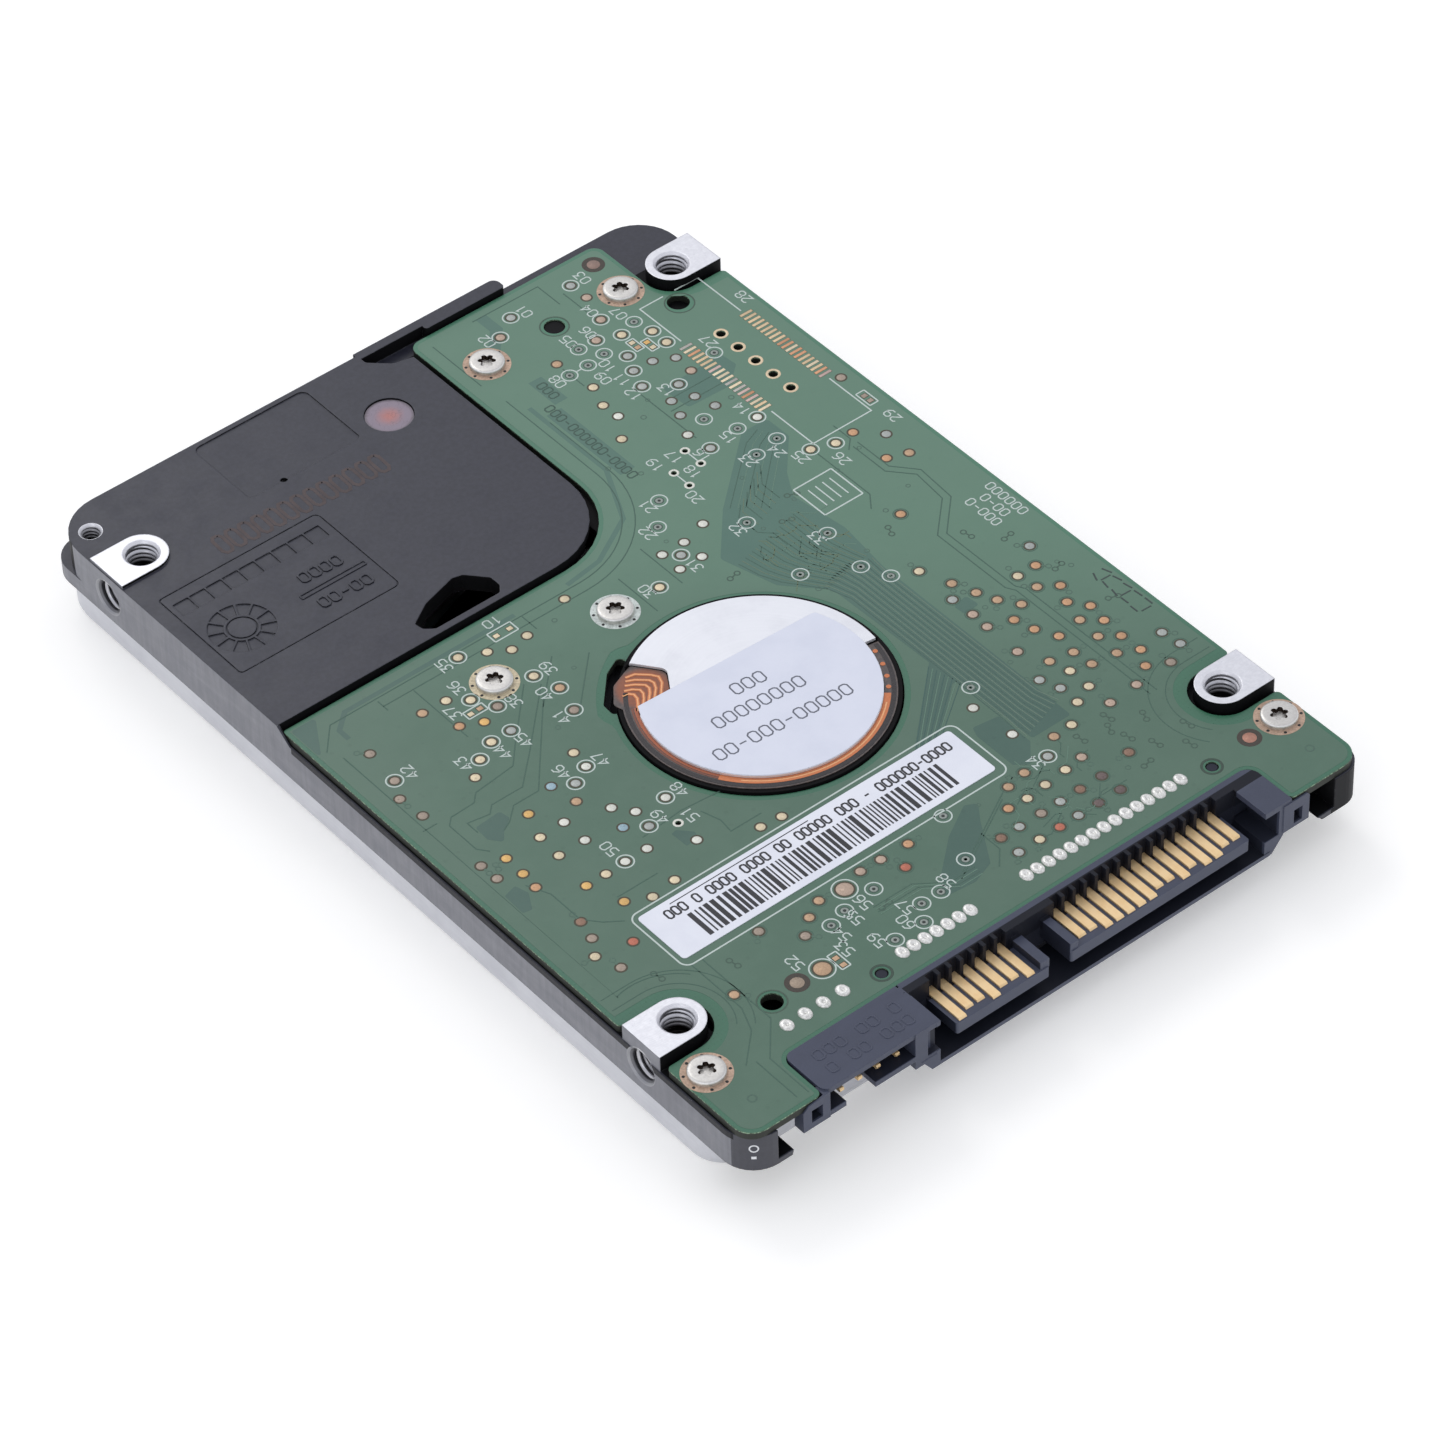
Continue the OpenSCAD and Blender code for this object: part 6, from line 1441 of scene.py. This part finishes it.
th = Build()
for x, y in BOSSES:
    thread(th, (x, y, 0), (0, 0, 1), 1.5, 1.27, 6.85, 8.95)
for y in (-36.1, 40.5):
    for sx in (-1, 1):
        thread(th, (sx * 34.9, y, 6.5), (-sx, 0, 0), 1.5, 1.27, 0.5, 2.3)
thread(th, (-32.5, 46.2, 0), (0, 0, 1), 0.85, 0.7, 7.4, 8.9, 0.4)
ob = th.make("boss_threads", M["thread"], slot="black_casting", sharp=60)

# ---------------------------------------------------------------- marks cast or etched into the chamber
mk = Build()
numerals(mk, "0000000000000", (-15.8, 36.6), 2.5, 0.34, Z_CAST - 0.01, Z_CAST + 0.012, 178, srgb(40, 42, 52), stretch=0.62)
ob = mk.make("cast_serial_etch", M["etch"], slot="black_casting")
mk = Build()
for k, y in enumerate((24.6, 28.4)):
    numerals(mk, "0000" if k else "00-00", (-19.8, y), 1.25, 0.2, Z_CAST - 0.02, Z_CAST + 0.09, 178, None)
mk.ribbon(rounded(rect(-23.4, -16.2, 26.2, 26.7, 0.1)), 0.14, Z_CAST - 0.02, Z_CAST + 0.07, closed=True)
ob = mk.make("cast_raised_marks", M["cast"], slot="black_casting")

# two rows of raised moulding zeros on the plug's roof
mk = Build()
for y, t in ((-46.4, "0 00 000"), (-48.2, "000 00 0")):
    numerals(mk, t, (-20.0, y), 1.1, 0.15, 8.68, 8.735, 180, None, stretch=1.15)
ob = mk.make("plug_roof_marks", M["housing"], slot="chip_black")

# small marks on the rounded front corner of the left prong, wrapped on its surface
wm = Build()
WH = srgb(222, 224, 226)


def wrap(a, z, d=0.0):
    t = math.radians(a)
    return (-31.625 + (3.3 + d) * math.cos(t), -46.8 + (3.3 + d) * math.sin(t), z)


def patch(b, cells, col):
    """Thin closed tiles on the corner; each cell is (a0, a1, z0, z1)."""
    for a0, a1, z0, z1 in cells:
        lo = [wrap(a0, z0, -0.02), wrap(a1, z0, -0.02), wrap(a1, z1, -0.02), wrap(a0, z1, -0.02)]
        hi = [wrap(a0, z0, 0.012), wrap(a1, z0, 0.012), wrap(a1, z1, 0.012), wrap(a0, z1, 0.012)]
        b.loft([lo, hi], col)


patch(wm, [(-132.7 + 0.95 * k, -132.7 + 0.95 * k + 0.97, 5.2, 5.5) for k in range(8)], WH)
N = 28
deg = math.degrees(1 / 3.3)
cells = []
ringv = []
for r, d in ((0.31, -0.02), (0.44, -0.02), (0.44, 0.012), (0.31, 0.012)):
    ringv.append([wrap(-128.5 + deg * r * math.cos(2 * math.pi * i / N), 6.45 + r * math.sin(2 * math.pi * i / N), d) for i in range(N)])
verts = [v for q in ringv for v in q]
faces = []
for j in range(4):
    k = (j + 1) % 4
    for i in range(N):
        faces.append((j * N + i, j * N + (i + 1) % N, k * N + (i + 1) % N, k * N + i))
wm.add(verts, faces, WH)
ob = wm.make("prong_corner_marks", M["ink"], slot="label_white", tint=True)

# ---------------------------------------------------------------- generic print on the cover label
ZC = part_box("cover_label")[0].z / MM
cl = Build()
G1, G2 = srgb(58, 60, 66), srgb(130, 134, 142)
zc0, zc1 = ZC - 0.012, ZC + 0.006
for y0, y1, w in ((3.4, 4.0, 40.0), (1.4, 1.7, 30.0), (0.4, 0.7, 34.0), (-0.6, -0.3, 26.0), (-3.0, -2.7, 20.0), (-4.0, -3.7, 24.0)):
    cl.box(-24.5, -24.5 + w, y0, y1, zc0, zc1, G2 if y1 - y0 < 0.5 else G1)
x = -24.5
while x < 8.0:
    w = rnd.choice((0.16, 0.16, 0.26, 0.4, 0.5))
    cl.box(x, x + w, -27.6, -22.6, zc0, zc1, G1)
    x += w + rnd.choice((0.18, 0.24, 0.34))
numerals(cl, "0000 0000 0000", (-8.2, -20.6), 1.6, 0.22, zc0, zc1, 0, G1, stretch=1.1)
for i in range(12):
    for j in range(12):
        if i in (0,) or j in (0,) or rnd.random() < 0.48:
            cl.box(15.0 + 0.8 * i, 15.0 + 0.8 * i + 0.8, -28.0 + 0.8 * j, -28.0 + 0.8 * j + 0.8, zc0, zc1, G1)
for k in range(5):
    numerals(cl, "00000-000", (18.0, -16.6 + 2.5 * k), 1.2, 0.16, zc0, zc1, 0, G2)
cl.ribbon(rounded(rect(-26.4, 26.4, -29.4, 4.9, 1.1)), 0.2, zc0, zc1, G2, closed=True)
ob = cl.make("cover_label_print", M["ink"], slot="chip_black", tint=True, smooth=False)

# ---------------------------------------------------------------- floor, light and camera
bpy.ops.mesh.primitive_plane_add(size=6.0, location=(0, 0, -0.00002))
floor = bpy.context.object
floor.name = "floor"
fl = Mat("floor_white")
grit = fl.noise(0.05, 3, 0.6)
fl.set(color=fl.mix(grit * 0.3, (0.95, 0.94, 0.90), (0.93, 0.92, 0.88)), rough=0.8, spec=0.1, emit=(1.0, 1.0, 0.99), emit_s=0.23)
floor.data.materials.append(fl.mat)

sc = bpy.context.scene
world = bpy.data.worlds.new("studio")
sc.world = world
world.use_nodes = True
wt = world.node_tree
bgn = wt.nodes["Background"]
tc = wt.nodes.new("ShaderNodeTexCoord")
sp = wt.nodes.new("ShaderNodeSeparateXYZ")
rmp = wt.nodes.new("ShaderNodeValToRGB")
wt.links.new(tc.outputs["Generated"], sp.inputs[0])
wt.links.new(sp.outputs["Z"], rmp.inputs[0])
rmp.color_ramp.elements[0].position = 0.0
rmp.color_ramp.elements[0].color = (0.90, 0.91, 0.97, 1)
rmp.color_ramp.elements[1].position = 0.9
rmp.color_ramp.elements[1].color = (0.93, 0.95, 1.03, 1)
wt.links.new(rmp.outputs[0], bgn.inputs["Color"])
bgn.inputs["Strength"].default_value = 0.86


def area(name, where, target, size, power, col=(1, 1, 1), sy=None):
    li = bpy.data.lights.new(name, "AREA")
    li.energy = power
    li.size = size
    if sy:
        li.shape = "RECTANGLE"
        li.size_y = sy
    li.color = col
    o = bpy.data.objects.new(name, li)
    o.location = where
    d = Vector(target) - Vector(where)
    o.rotation_euler = d.to_track_quat("-Z", "Y").to_euler()
    sc.collection.objects.link(o)
    return o


area("key", (0.10, 0.55, 0.60), (0, 0, 0), 0.30, 0.9, (1.0, 0.99, 0.97))
area("front", (-0.62, -0.30, 0.40), (0, 0, 0), 0.35, 0.35, (0.97, 0.98, 1.0))

AZ, EL, ROLL = math.radians(-38.019), math.radians(43.88), math.radians(2.114)
back = Vector((math.sin(AZ) * math.cos(EL), -math.cos(AZ) * math.cos(EL), math.sin(EL)))
right = Vector((math.cos(AZ), math.sin(AZ), 0.0))
up = back.cross(right)
r2 = right * math.cos(ROLL) - up * math.sin(ROLL)
u2 = right * math.sin(ROLL) + up * math.cos(ROLL)
t = Vector((-2.900, 8.203, -569.64))
loc = -(r2 * t.x + u2 * t.y + back * t.z) + Vector((0, 0, 9.5))
cam = bpy.data.cameras.new("camera")
cam.sensor_fit = "HORIZONTAL"
cam.sensor_width = 36.0
cam.lens = 6411.787 / 1445.0 * 36.0
cam.clip_start, cam.clip_end = 0.02, 20.0
co = bpy.data.objects.new("camera", cam)
m3 = Matrix((r2, u2, back)).transposed()
co.matrix_world = Matrix.Translation(loc * MM) @ m3.to_4x4()
sc.collection.objects.link(co)
sc.camera = co
sc.view_settings.view_transform = "Standard"
sc.view_settings.look = "None"
sc.view_settings.exposure = 0.0
